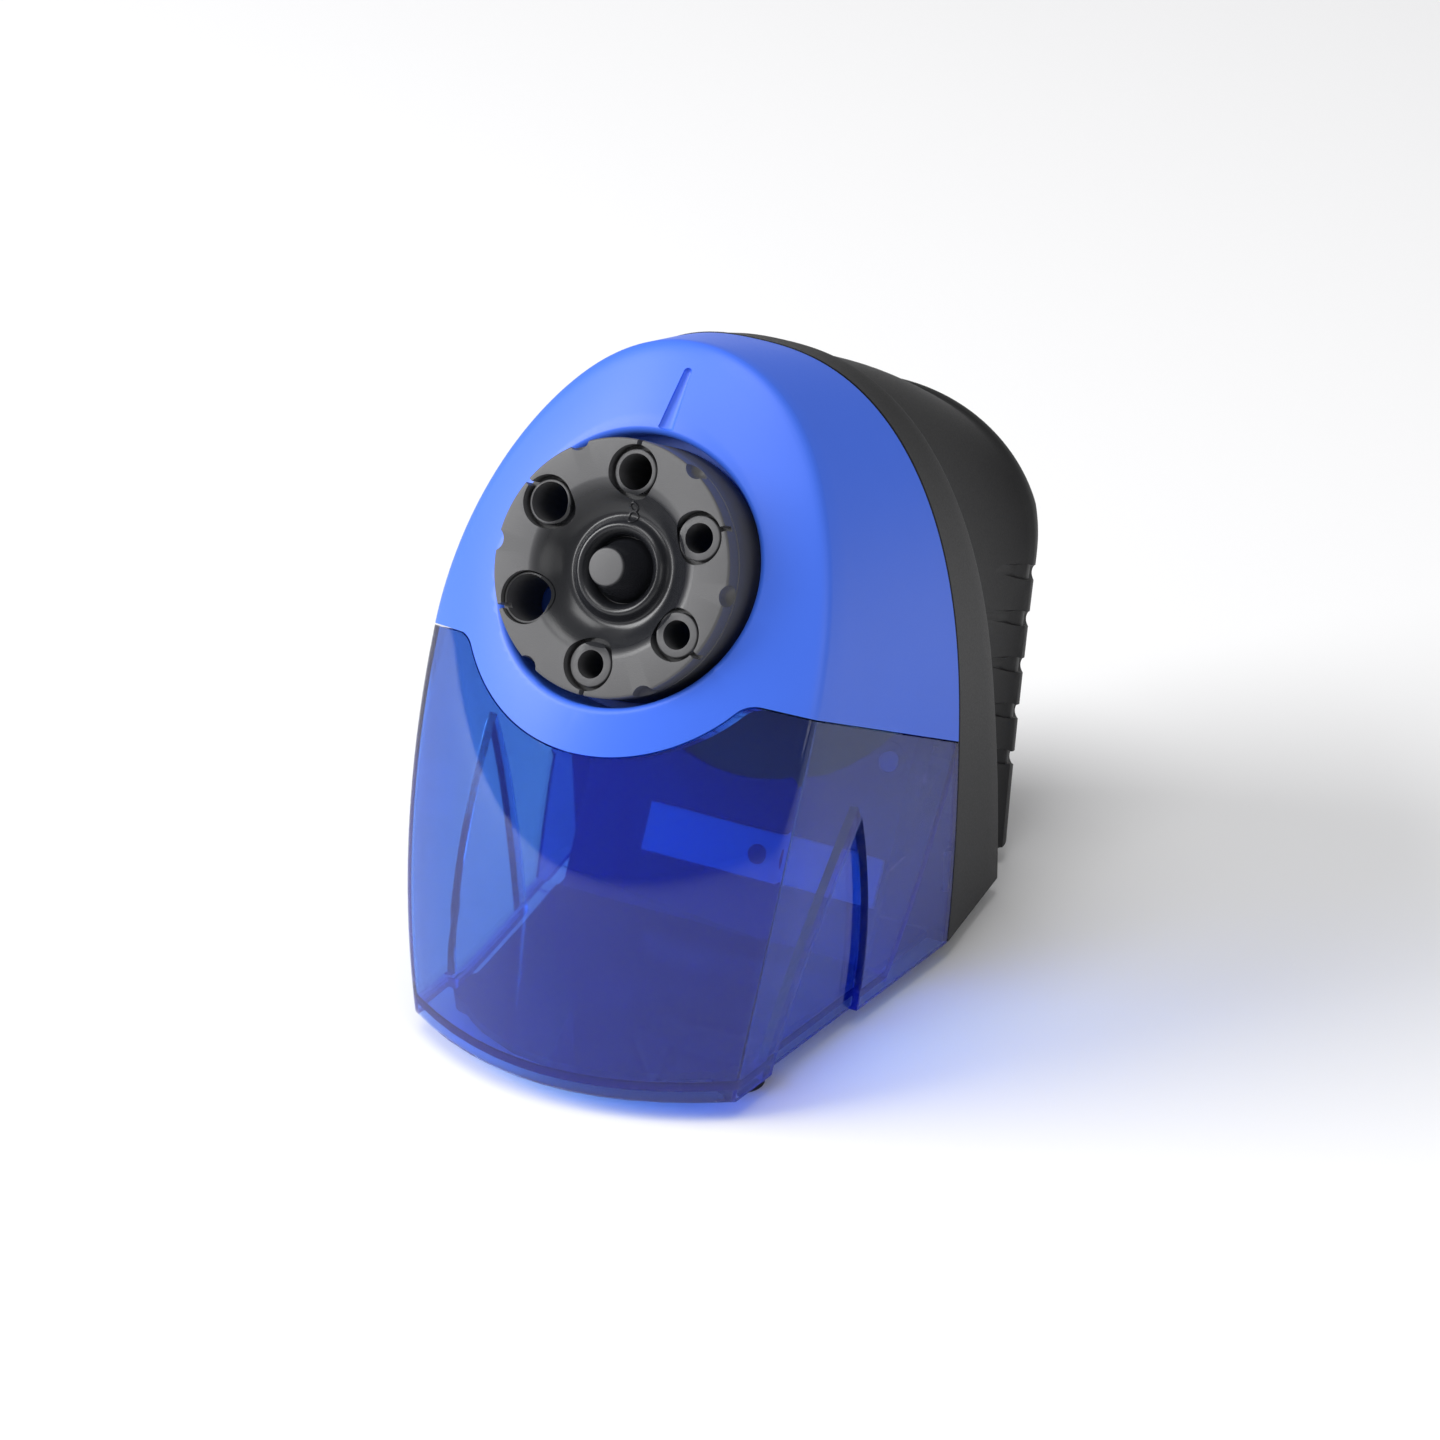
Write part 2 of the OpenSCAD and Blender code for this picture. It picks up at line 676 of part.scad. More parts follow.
function hole_angle(i) = 90 + 60 * i;
function hole_at(i) = hole_circle_r * [cos(hole_angle(i)), sin(hole_angle(i)), 0];

module dial() color("#3a3a3c") {
    tilted() difference() {
        union() {
            rotate_extrude($fn = 96) dial_half_section();
            for (i = [0:5]) translate(hole_at(i) - [0, 0, dial_t])
                cylinder(d = hole_ds[i] + 3.2, h = dial_t - 1);
        }
        for (i = [0:5]) translate(hole_at(i) - [0, 0, dial_t + 1])
            cylinder(d = hole_ds[i], h = dial_t + 10);
        for (i = [0:5]) rotate(60 * i) translate([dial_r + 0.8, 0, -4]) cylinder(r = 2.4, h = 10, $fn = 32);
        for (i = [0:5]) rotate(detent_angle + 60 * i) translate([detent_circle_r, 0, -dial_t - 1.2])
            sphere(r = detent_ball_r + 0.1, $fn = 32);
    }
}

module dial_cap() color("#333335") {
    over_washer = crater_floor - 1.2;
    over_screw = crater_floor - 3.4;
    tilted() rotate_extrude() polygon([
        [0, -over_screw], [3.8, -over_screw], [5.4, -over_washer],
        [5.4, -crater_floor], [7.5, -crater_floor],
        [cap_r + 0.3, cap_top - 0.3], [cap_r, cap_top], [0, cap_top]]);
}

module dial_washer() color("#d0d2d6") {
    station(crater_floor - 0.1, [0, 0, 0]) difference() {
        cylinder(r = 5, h = 0.8);
        translate([0, 0, -1]) cylinder(r = 1.4, h = 3);
    }
}

module dial_screw() color("#c4c6ca") {
    head_s = crater_floor - 0.9;
    station(head_s + hub_screw_l, [0, 0, 0]) cylinder(r = 1.3, h = hub_screw_l);
    station(head_s, [0, 0, 0]) cylinder(r = 3, h = 1.9);
}

module detent_ball() color("#d7d9dc") {
    station(dial_t + 0.1 + detent_ball_r, detent_at()) sphere(r = detent_ball_r);
}

module detent_spring() color("#b8bbc0") {
    back = well_s + shell_wall + 6.8;
    front = dial_t + 0.1 + 2 * detent_ball_r;
    station(back, detent_at()) coil_spring(1.35, 0.25, 6, back - front);
}

// ---------------------------------------------------------------- cutter

module ring_gear() color("#9ea3a8") {
    station(ring_s + ring_t) difference() {
        cylinder(r = ring_outer_r, h = ring_t, $fn = 96);
        translate([0, 0, -1]) linear_extrude(ring_t + 2)
            polygon(gear_points(planet_module, ring_teeth, 1.3 * planet_module, 0.7 * planet_module, -0.12));
    }
}

// Moves children onto the cutter's leaning axis; local Z = 0 is the middle of the pinion
module cutter_axis() {
    station(pinion_mid_s) translate([planet_arm, 0, 0]) rotate([0, point_angle, 0]) children();
}

module cutter_carrier() color("#a9adb2") {
    difference() {
        union() {
            station(carrier_front_s + 1.8) cylinder(r = carrier_r, h = 1.8);
            station(carrier_back_s + carrier_plate_t) cylinder(r = carrier_r - 1, h = carrier_plate_t);
            station(carrier_back_s + 0.5) intersection() {
                difference() {
                    cylinder(r = carrier_r - 1, h = carrier_back_s - carrier_front_s);
                    cylinder(r = carrier_r - 5.5, h = 60);
                }
                translate([-40, -20, 0]) cube([36, 40, 60]);
            }
            station(motor_plate_s + plate_t)
                cylinder(d = carrier_shaft_d, h = motor_plate_s + plate_t - carrier_back_s);
        }
        station(carrier_front_s + 3) cylinder(r = guide_bore / 2 + 0.6, h = 10);
        cutter_axis() translate([0, 0, -60]) cylinder(d = cutter_axle_d, h = 90);
    }
}

module helical_cutter() color("#6f7479") {
    flutes = 22;
    depth = 0.9;
    cutter_axis() translate([0, 0, -(cutter_s - pinion_mid_s) - cutter_l]) difference() {
        linear_extrude(cutter_l, twist = 70, slices = 14)
            polygon([for (i = [0:2 * flutes - 1])
                let (r = cutter_d / 2 - (i % 2) * depth, a = 180 * i / flutes) r * [cos(a), sin(a)]]);
        translate([0, 0, -1]) cylinder(d = cutter_axle_d + 2 * running, h = cutter_l + 2);
    }
}

module cutter_pinion() color("#84898e") {
    cutter_axis() translate([0, 0, -2]) difference() {
        linear_extrude(4) polygon(gear_points(planet_module, planet_teeth, 0.6, 1.2, 0.16));
        translate([0, 0, -1]) cylinder(d = cutter_axle_d + 2 * running, h = 6);
    }
    cutter_axis() translate([0, 0, -(cutter_s - pinion_mid_s)]) difference() {
        cylinder(r = 3.6, h = cutter_s - pinion_mid_s - 2);
        translate([0, 0, -1]) cylinder(d = cutter_axle_d + 2 * running, h = 6);
    }
}

module cutter_axle() color("#d5d8dc") {
    front = pinion_mid_s - carrier_front_s;
    back = (carrier_back_s + carrier_plate_t - pinion_mid_s) / cos(point_angle);
    cutter_axis() translate([0, 0, -back]) cylinder(d = cutter_axle_d, h = back + front);
}

module carrier_gear() color("#e3dfd2") {
    station(slow_s + slow_t) rotate(to_carrier() + 180)
        gear(slow_module, carrier_teeth, slow_t, carrier_shaft_d);
}

module carrier_bush_front() color("#b08d4f") { carrier_bush(gear_plate_s); }
module carrier_bush_rear() color("#b08d4f") { carrier_bush(motor_plate_s); }
module carrier_bush(s) {
    station(s + plate_t) difference() {
        cylinder(d = carrier_shaft_d + 2 * bush_wall, h = plate_t);
        translate([0, 0, -1]) cylinder(d = carrier_shaft_d + 2 * running, h = plate_t + 2);
    }
}

// ---------------------------------------------------------------- gears and motor

// Directions from the idler's axle to the two shafts that it meshes with
function to_carrier() = atan2(idler_drop, -idler_x);
function to_motor() = atan2(motor_at[1] - idler_at[1], motor_at[0] - idler_at[0]);

// Both steps put a tooth gap on the line between centres
module idler_gear() color("#e3dfd2") {
    long = fast_s + fast_t - slow_s;
    small = gear_points(slow_module, idler_small_teeth, 0.85 * slow_module, 1.15 * slow_module, flank_gap);
    large = gear_points(fast_module, idler_large_teeth, 0.85 * fast_module, 1.15 * fast_module, flank_gap);
    station(fast_s + fast_t, idler_at) difference() {
        union() {
            rotate(to_carrier() + 180 / idler_small_teeth) translate([0, 0, fast_t])
                linear_extrude(long - fast_t)
                polygon(small);
            rotate(to_motor() + 180 / idler_large_teeth) linear_extrude(fast_t) polygon(large);
        }
        translate([0, 0, -1]) cylinder(d = idler_axle_d + 2 * running, h = long + 2);
    }
}

module idler_axle() color("#c9ccd1") {
    station(motor_plate_s + plate_t, idler_at)
        cylinder(d = idler_axle_d, h = motor_plate_s + plate_t - gear_plate_s);
}

module motor_pinion() color("#b59a5a") {
    station(fast_s + fast_t, motor_at) rotate(to_motor() + 180)
        gear(fast_module, motor_teeth, fast_t, motor_shaft_d, 0.1);
}

module motor_shaft() color("#d5d8dc") {
    station(stack_s + stack_t + 11.5, motor_at)
        cylinder(d = motor_shaft_d, h = stack_s + stack_t + 11.5 - fast_s + 1);
}

module rotor() color("#a7abb0") {
    station(stack_s + stack_t + 1, motor_at) difference() {
        cylinder(d = rotor_d, h = stack_t + 2);
        translate([0, 0, -1]) cylinder(d = motor_shaft_d, h = stack_t + 4);
    }
}

module stator_core() color("#7d8287") {
    station(stack_s + stack_t, motor_at) difference() {
        translate([-stack_half_w, stack_low, 0]) cube([2 * stack_half_w, stack_top - stack_low, stack_t]);
        translate([0, 0, -1]) cylinder(d = rotor_d + 0.8, h = stack_t + 2);
        translate([-15, yoke_top, -1]) cube([30, 8.5, stack_t + 2]);
        for (x = [-motor_screw_x, motor_screw_x]) translate([x, 0, -1]) cylinder(d = 3.2, h = stack_t + 2);
    }
}

module around_yoke(inner, outer, w) {
    mid = (yoke_top + stack_low) / 2;
    h = yoke_top - stack_low;
    station(stack_s + stack_t / 2, motor_at) translate([0, mid, 0]) difference() {
        cube([w, h + 2 * outer, stack_t + 2 * outer], center = true);
        cube([w + 2, h + 2 * inner, stack_t + 2 * inner], center = true);
    }
}

module coil_bobbin() color("#d8d4c4") {
    around_yoke(0.1, 1, 27);
    for (x = [-14, 14]) {
        mid = (yoke_top + stack_low) / 2;
        station(stack_s + stack_t / 2, motor_at) translate([x, mid, 0]) difference() {
            cube([1, yoke_top - stack_low + 10, stack_t + 10], center = true);
            cube([2, yoke_top - stack_low + 0.2, stack_t + 0.2], center = true);
        }
    }
}

module stator_coil() color("#a5562a") { around_yoke(1, 4.6, 26.8); }

// Pressed strap with a bearing eye, on one end of the stator
module motor_bracket(s) {
    station(s + bracket_t, motor_at) difference() {
        union() {
            translate([-23, -7, 0]) cube([46, 14, bracket_t]);
            cylinder(d = motor_shaft_d + 2 * motor_bush_wall + 3, h = bracket_t);
        }
        translate([0, 0, -1]) cylinder(d = motor_shaft_d + 2 * motor_bush_wall, h = bracket_t + 2);
        for (x = [-motor_screw_x, motor_screw_x]) translate([x, 0, -1])
            cylinder(d = 3.2, h = bracket_t + 2);
    }
}
module motor_bracket_front() color("#b7bbc0") { motor_bracket(stack_s - bracket_t - bracket_gap); }
module motor_bracket_rear() color("#b7bbc0") { motor_bracket(stack_s + stack_t + bracket_gap); }

module motor_bush(s) {
    station(s + bracket_t, motor_at) difference() {
        cylinder(d = motor_shaft_d + 2 * motor_bush_wall, h = bracket_t);
        translate([0, 0, -1]) cylinder(d = motor_shaft_d + 2 * running, h = bracket_t + 2);
    }
}
module motor_bush_front() color("#b08d4f") { motor_bush(stack_s - bracket_t - bracket_gap); }
module motor_bush_rear() color("#b08d4f") { motor_bush(stack_s + stack_t + bracket_gap); }

module cooling_fan() color("#3a3f45") {
    blades = 8;
    station(stack_s + stack_t + 10.5, motor_at) difference() {
        union() {
            cylinder(r = 6, h = 4.5);
            cylinder(r = 18, h = 0.8);
            for (i = [0:blades - 1]) rotate(360 * i / blades) translate([5, -0.6, 0]) cube([13, 1.2, 4.5]);
        }
        translate([0, 0, -1]) cylinder(d = motor_shaft_d, h = 8);
    }
}

module motor_screws() color("#c4c6ca") {
    tail = stack_s + stack_t + bracket_gap + bracket_t;
    for (x = [-motor_screw_x, motor_screw_x]) station(tail, motor_at + [x, 0, 0]) {
        cylinder(d = 3, h = tail - motor_plate_s);
        translate([0, 0, -1.8]) cylinder(d = 6, h = 1.8);
    }
}

module motor_grommets() color("#1a1a1a") {
    back = stack_s - bracket_t - bracket_gap;
    front = motor_plate_s + plate_t;
    for (x = [-motor_screw_x, motor_screw_x]) station(back, motor_at + [x, 0, 0]) difference() {
        cylinder(d = 8, h = back - front);
        translate([0, 0, -1]) cylinder(d = 3.2, h = 10);
    }
    for (x = [-motor_screw_x, motor_screw_x]) for (s = [stack_s, stack_s + stack_t + bracket_gap])
        station(s, motor_at + [x, 0, 0])
        difference() {
            cylinder(d = 7, h = bracket_gap);
            translate([0, 0, -1]) cylinder(d = 3.2, h = 10);
        }
}

// ---------------------------------------------------------------- switches and wiring

module start_lever() color("#d9d5c8") {
    station(lever_pivot_s, [0, lever_pivot_v, 0]) {
        rotate([0, 90, 0]) difference() {
            cylinder(r = 3, h = 6.6, center = true);
            cylinder(r = lever_pin_r + running, h = 8, center = true);
        }
        translate([-2.2, -1.2, 2.6]) cube([4.4, 2.6, lever_pivot_s - lever_nose_s]);
        translate([-2.2, -7.6, lever_pivot_s - lever_nose_s - 2]) cube([4.4, 7, 4.4]);
    }
}

module start_lever_pin() color("#d5d8dc") {
    station(lever_pivot_s, [0, lever_pivot_v, 0]) rotate([0, 90, 0])
        cylinder(r = lever_pin_r, h = 10.4, center = true);
}

module start_switch() color("#1f2a33") {
    station(lever_nose_s + 6, [-3, lever_pivot_v + 6, 0]) cube([6, 6.2, 14]);
    station(lever_nose_s + 6, [-8, lever_pivot_v + 12.2, 0]) cube([16, 1.2, 14]);
}

module tray_stop_bar() color("#dfe3e8") {
    station(tray_back_s + 5, [0, 0, 0]) difference() {
        translate([stop_x[0] + 0.2, stop_v[0] + 0.2, 0])
            cube([stop_x[1] - stop_x[0] - 0.4, stop_v[1] - stop_v[0] - 0.4, 4.6]);
        translate(plunger_at - [0, 0, 1]) cylinder(r = plunger_r + running, h = 8);
    }
}

module interlock_plunger() color("#c23a2e") {
    station(tray_back_s + 10, plunger_at) {
        cylinder(r = plunger_r, h = 9.7);
        cylinder(r = plunger_r + 1.2, h = 1);
    }
}

module interlock_spring() color("#b8bbc0") {
    station(tray_back_s + 14, plunger_at) coil_spring(2, 0.3, 4, 3.9);
}

module interlock_switch() color("#1f2a33") {
    station(tray_back_s + 20.2, plunger_at - [10, 3.2, 0]) cube([20, 6.4, 6]);
}

module thermal_cutout() color("#d8d4c4") {
    station(stack_s + stack_t - 4, motor_at + [stack_half_w + 0.1, -12, 0]) cube([3.6, 16, 9]);
}

module terminal_board() color("#2f6b3c") {
    translate([-30, seam_y + 10, bottom_z + base_t]) cube([22, 30, 1.6]);
    for (i = [0:2]) translate([-27 + i * 7, seam_y + 14, bottom_z + base_t + 1.6]) cube([5, 6, 3.4]);
}

// Moves children to the cord inlet in the back wall, local Z pointing inwards
module at_inlet() {
    y = back_y - back_bulge - (back_corner_z - gland_z) * tan(back_lean);
    translate([gland_x, y, gland_z]) rotate([90 - back_lean, 0, 0]) children();
}

module cord_gland() color("#191919") {
    lip = 1.6;
    outside = 1.5;
    inside = rear_wall + 0.4;
    at_inlet() difference() {
        union() {
            translate([0, 0, -outside - lip]) cylinder(d = gland_d - 0.1, h = outside + inside + 2 * lip);
            translate([0, 0, -outside - lip]) cylinder(d = gland_d + 3.4, h = lip);
            translate([0, 0, inside]) cylinder(d = gland_d + 2.4, h = lip);
        }
        translate([0, 0, -10]) cylinder(d = 6.6, h = 30);
    }
}

// ---------------------------------------------------------------- feet and fasteners

function foot_places() = [for (f = [front_foot, rear_foot]) for (x = [-1, 1]) [x * f[0], f[1]]];

module foot(p) {
    translate([p[0], p[1], 0]) {
        cylinder(r1 = foot_r - 0.5, r2 = foot_r, h = foot_h);
        cylinder(r = foot_stem_r, h = foot_h + tongue_t);
    }
}
module front_left_foot() color("#141414") { foot(foot_places()[0]); }
module front_right_foot() color("#141414") { foot(foot_places()[1]); }
module rear_left_foot() color("#141414") { foot(foot_places()[2]); }
module rear_right_foot() color("#141414") { foot(foot_places()[3]); }

module base_screws() color("#c4c6ca") {
    for (p = screw_places()) translate([p[0], p[1], 0]) {
        translate([0, 0, bottom_z - 1.9]) cylinder(d = 6, h = 1.9);
        translate([0, 0, bottom_z]) cylinder(d = 2.7, h = 13);
    }
}

module bulkhead_screws() color("#c4c6ca") {
    for (x = [-bulkhead_screw_x, bulkhead_screw_x]) station(tray_back_s + 8, [x, bulkhead_screw_v, 0]) {
        cylinder(d = 2.5, h = 6.9);
        translate([0, 0, 6.8]) cylinder(d = 5, h = 0.6);
    }
}

front_shell();
rear_housing();
base_plate();
shavings_tray();
chassis_bulkhead();
gear_plate();
motor_plate();
plate_spacers();
cutter_housing();
shavings_chute();
pencil_guide();
dial();
dial_cap();
dial_screw();
dial_washer();
detent_ball();
detent_spring();
ring_gear();
cutter_carrier();
helical_cutter();
cutter_pinion();
cutter_axle();
carrier_gear();
carrier_bush_front();
carrier_bush_rear();
idler_gear();
idler_axle();
motor_pinion();
motor_shaft();
rotor();
stator_core();
coil_bobbin();
stator_coil();
motor_bracket_front();
motor_bracket_rear();
motor_bush_front();
motor_bush_rear();
cooling_fan();
motor_screws();
motor_grommets();
start_lever();
start_lever_pin();
start_switch();
tray_stop_bar();
interlock_plunger();
interlock_spring();
interlock_switch();
thermal_cutout();
terminal_board();
cord_gland();
front_left_foot();
front_right_foot();
rear_left_foot();
rear_right_foot();
base_screws();
bulkhead_screws();
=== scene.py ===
"""Desktop electric pencil sharpener: satin blue shell, clear blue shavings tray, black motor housing."""
import json
import math

import bmesh
import bpy
from mathutils import Matrix, Vector


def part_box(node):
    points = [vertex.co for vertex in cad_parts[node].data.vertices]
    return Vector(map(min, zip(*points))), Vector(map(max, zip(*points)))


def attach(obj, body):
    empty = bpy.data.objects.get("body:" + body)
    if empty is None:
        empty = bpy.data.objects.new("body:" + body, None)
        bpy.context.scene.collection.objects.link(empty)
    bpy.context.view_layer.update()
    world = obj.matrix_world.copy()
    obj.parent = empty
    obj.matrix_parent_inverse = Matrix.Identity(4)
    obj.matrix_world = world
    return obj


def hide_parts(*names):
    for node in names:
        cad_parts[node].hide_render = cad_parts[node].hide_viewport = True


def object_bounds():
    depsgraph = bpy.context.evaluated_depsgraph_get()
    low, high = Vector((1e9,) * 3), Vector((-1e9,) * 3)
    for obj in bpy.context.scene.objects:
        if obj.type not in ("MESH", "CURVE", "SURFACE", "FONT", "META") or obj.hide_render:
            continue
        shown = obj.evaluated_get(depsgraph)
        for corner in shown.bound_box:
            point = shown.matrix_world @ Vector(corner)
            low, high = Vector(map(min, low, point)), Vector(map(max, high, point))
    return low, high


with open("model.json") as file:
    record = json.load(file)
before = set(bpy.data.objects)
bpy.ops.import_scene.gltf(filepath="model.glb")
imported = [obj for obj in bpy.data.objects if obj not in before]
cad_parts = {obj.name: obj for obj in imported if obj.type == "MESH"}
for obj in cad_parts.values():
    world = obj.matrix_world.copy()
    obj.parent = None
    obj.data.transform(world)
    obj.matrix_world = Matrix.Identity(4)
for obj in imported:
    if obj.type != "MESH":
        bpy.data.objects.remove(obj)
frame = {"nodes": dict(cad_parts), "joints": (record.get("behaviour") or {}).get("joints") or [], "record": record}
cad_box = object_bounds()
MM = 0.001

# ---------------------------------------------------------------- room, camera and lamps
# A white sweep on a studio table, lit by three soft boxes. The camera stands 1.6 m away, to the
# right of the dial and above it, with a long lens.

dial_joint = next(j for j in frame["joints"] if j["name"] == "dial_turn")
dial_centre = Vector(dial_joint["pos_m"])
CAMERA_OFFSET = Vector((0.7074, -1.2331, 0.7136))
AIM_OFFSET = Vector((0.0307, -0.0023, -0.0317))

camera_data = bpy.data.cameras.new("camera")
camera_data.lens = 168.9
camera_data.sensor_width = 36
camera_data.clip_end = 20
camera = bpy.data.objects.new("camera", camera_data)
camera.location = dial_centre + CAMERA_OFFSET
camera.rotation_euler = (AIM_OFFSET - CAMERA_OFFSET).to_track_quat("-Z", "Y").to_euler()
bpy.context.scene.collection.objects.link(camera)
bpy.context.scene.camera = camera
bpy.context.scene.view_settings.view_transform = "Standard"


def srgb(hex_code):
    """Linear colour of an sRGB hex code."""
    parts = [int(hex_code[i:i + 2], 16) / 255 for i in (1, 3, 5)]
    return [p / 12.92 if p <= 0.04045 else ((p + 0.055) / 1.055) ** 2.4 for p in parts] + [1]


def add(material, kind, settings=None, **inputs):
    """Adds one node with its settings; each input is a value or another node's output."""
    node = material.node_tree.nodes.new(kind)
    for name, value in (settings or {}).items():
        setattr(node, name, value)
    for name, value in inputs.items():
        socket = node.inputs[int(name[1:])] if name[0] == "_" else node.inputs[name.replace("_", " ")]
        if isinstance(value, bpy.types.NodeSocket):
            material.node_tree.links.new(value, socket)
        else:
            socket.default_value = value
    return node


def new_material(name):
    material = bpy.data.materials.new(name)
    material.use_nodes = True
    material.node_tree.nodes.clear()
    return material


def finish_surface(material, shader):
    add(material, "ShaderNodeOutputMaterial", Surface=shader.outputs[0])


# The table: matt white paper sweep.
table_paper = new_material("white_sweep_paper")
finish_surface(table_paper, add(table_paper, "ShaderNodeBsdfPrincipled", Base_Color=srgb("#F2F2F3"),
                                Roughness=0.6, Specular_IOR_Level=0.3))
bm = bmesh.new()
bmesh.ops.create_grid(bm, x_segments=1, y_segments=1, size=5)
floor_mesh = bpy.data.meshes.new("table")
bm.to_mesh(floor_mesh)
bm.free()
floor_mesh.materials.append(table_paper)
floor = bpy.data.objects.new("table", floor_mesh)
bpy.context.scene.collection.objects.link(floor)

world = bpy.data.worlds.new("studio")
world.use_nodes = True
world.node_tree.nodes["Background"].inputs["Color"].default_value = (1, 1, 1, 1)
world.node_tree.nodes["Background"].inputs["Strength"].default_value = 0.34
bpy.context.scene.world = world

SOFT_BOXES = [("key", (-1.6, -1.1, 1.2), 1.4, 56), ("top", (-0.1, -0.5, 2.1), 1.2, 20),
              ("side", (1.7, -0.6, 0.7), 1.0, 5)]
for lamp_name, place, size, power in SOFT_BOXES:
    lamp_data = bpy.data.lights.new(lamp_name, "AREA")
    lamp_data.size = size
    lamp_data.energy = power
    lamp = bpy.data.objects.new(lamp_name, lamp_data)
    lamp.location = place
    lamp.rotation_euler = (dial_centre - Vector(place)).to_track_quat("-Z", "Y").to_euler()
    bpy.context.scene.collection.objects.link(lamp)

# ---------------------------------------------------------------- front shell
# The blue cover is one ABS moulding with a satin, finely eroded skin. Its face and sides meet in a
# soft edge, and its walls are 2.6 mm thick. A round well holds the dial, and a groove above it
# points at the working hole.

LEAN = math.atan2(dial_joint["axis"][2], -dial_joint["axis"][1])
dial_y, dial_z = dial_centre.y / MM, dial_centre.z / MM
front_y, back_y = cad_box[0].y / MM, cad_box[1].y / MM
overall_h, half_w = cad_box[1].z / MM, cad_box[1].x / MM
seam_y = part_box("front_shell")[1].y / MM
bottom_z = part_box("rear_housing")[0].z / MM
WALL = 2.6
CREASE_HALF_W = 52.3
FOOT_TAPER = 7.9
CREASE_FOOT, CREASE_RUN, CREASE_SAG, CREASE_TIP = 15.2, 68.8, 54, 4.4
TIP_FROM, TIP_SPAN = 0.87, 0.13
FACE_POWER = 2.37
EDGE_R = 1.6
crease_mid_z = dial_z - 30
SEAM_FALL = 10.8
SEAM_LIP = 0.35
SEAM_FORM = (2.45, 2.3)
TRAY_DROP = 23.7
seam_mid_z = dial_z - (TRAY_DROP + (seam_y - dial_y) * math.sin(LEAN)) / math.cos(LEAN)
COLLAR_R = 44.6
WELL_R = 33.0
WELL_S = 21.0
POINTER_LOW, POINTER_HIGH, POINTER_R = 25.5, 35.4, 1.05
WORK_BORE_R, WORK_BORE_V = 6, 23.3
FACE_RINGS = 22
LOW_STEPS, UP_STEPS, BOTTOM_STEPS = 18, 54, 12


def arch(u, a, mid, top, low, power, narrowing):
    """Half width and height of an arch at u: -1 at the bottom, 0 at its widest, 1 at the top."""
    if u <= 0:
        return a - narrowing * u * u, mid + u * (mid - low)
    turn = math.pi / 2 * min(u, 0.99999)
    return a * math.cos(turn) ** (2 / power), mid + (top - mid) * math.sin(turn) ** (2 / power)


def arch_loop(a, mid, top, low, power, narrowing):
    """The arch as a closed loop of (x, z), up the right side and down the left."""
    steps = [-1 + i / LOW_STEPS for i in range(LOW_STEPS + 1)] + [i / UP_STEPS for i in range(1, UP_STEPS)]
    side = [arch(u, a, mid, top, low, power, narrowing) for u in steps]
    base = [(-side[0][0] * (1 - 2 * j / BOTTOM_STEPS), side[0][1]) for j in range(1, BOTTOM_STEPS)]
    return side + [(0, top)] + [(-x, z) for x, z in reversed(side)] + base


def rise(z):
    return max(0, (z - bottom_z) / (overall_h - bottom_z))


def crease_y(z):
    """Depth of the shell's front edge at a height."""
    t = rise(z)
    tip = max(0, (t - TIP_FROM) / TIP_SPAN) ** 2
    return front_y + CREASE_FOOT + CREASE_RUN * t - CREASE_SAG * t * (1 - t) - CREASE_TIP * tip


def centre_y(z):
    """Depth of the face on its centre line at a height."""
    return front_y + (crease_y(overall_h) - front_y) * rise(z) ** FACE_POWER


def crease_half_w(z, inset=0):
    a, top = CREASE_HALF_W - inset, overall_h - inset
    if z <= crease_mid_z:
        return a - FOOT_TAPER * ((crease_mid_z - z) / (crease_mid_z - bottom_z)) ** 2
    return a * max(1e-4, 1 - min(1, (z - crease_mid_z) / (top - crease_mid_z)) ** 2) ** 0.5


def face_y(x, z, inset=0):
    z = min(z + inset, overall_h)
    bow = min(1, abs(x) / crease_half_w(z, inset)) ** 2
    return centre_y(z) + (crease_y(z) - centre_y(z)) * bow


def loft(name, loops, first, last):
    """A closed solid through loops of points in millimetres, with a fan of faces at each end."""
    bm = bmesh.new()
    edges_before = None
    ends = []
    for loop in loops:
        verts = [bm.verts.new(Vector(p) * MM) for p in loop]
        edges = [bm.edges.new((verts[i - 1], verts[i])) for i in range(len(verts))]
        if edges_before:
            bmesh.ops.bridge_loops(bm, edges=edges_before + edges)
        ends.append(edges)
        edges_before = edges
    for edges, tip in ((ends[0], first), (ends[-1], last)):
        cap = bmesh.ops.contextual_create(bm, geom=edges)["faces"]
        centre = bmesh.ops.poke(bm, faces=cap)["verts"][0]
        centre.co = Vector(tip) * MM
    bmesh.ops.recalc_face_normals(bm, faces=bm.faces)
    return from_bmesh(name, bm)


def from_bmesh(name, bm):
    mesh = bpy.data.meshes.new(name)
    bm.to_mesh(mesh)
    bm.free()
    piece = bpy.data.objects.new(name, mesh)
    bpy.context.scene.collection.objects.link(piece)
    return piece


def join_or_cut(piece, *steps):
    """Applies boolean steps of (operation, tool) in order, and leaves one plain mesh."""
    for operation, tool in steps:
        modifier = piece.modifiers.new("cut", "BOOLEAN")
        modifier.operation = operation
        modifier.object = tool
        modifier.solver = "MANIFOLD"
    bpy.context.view_layer.update()
    evaluated = piece.evaluated_get(bpy.context.evaluated_depsgraph_get())
    mesh = bpy.data.meshes.new_from_object(evaluated)
    piece.modifiers.clear()
    piece.data = mesh


def bin_tools(*tools):
    for tool in tools:
        bpy.data.objects.remove(tool)


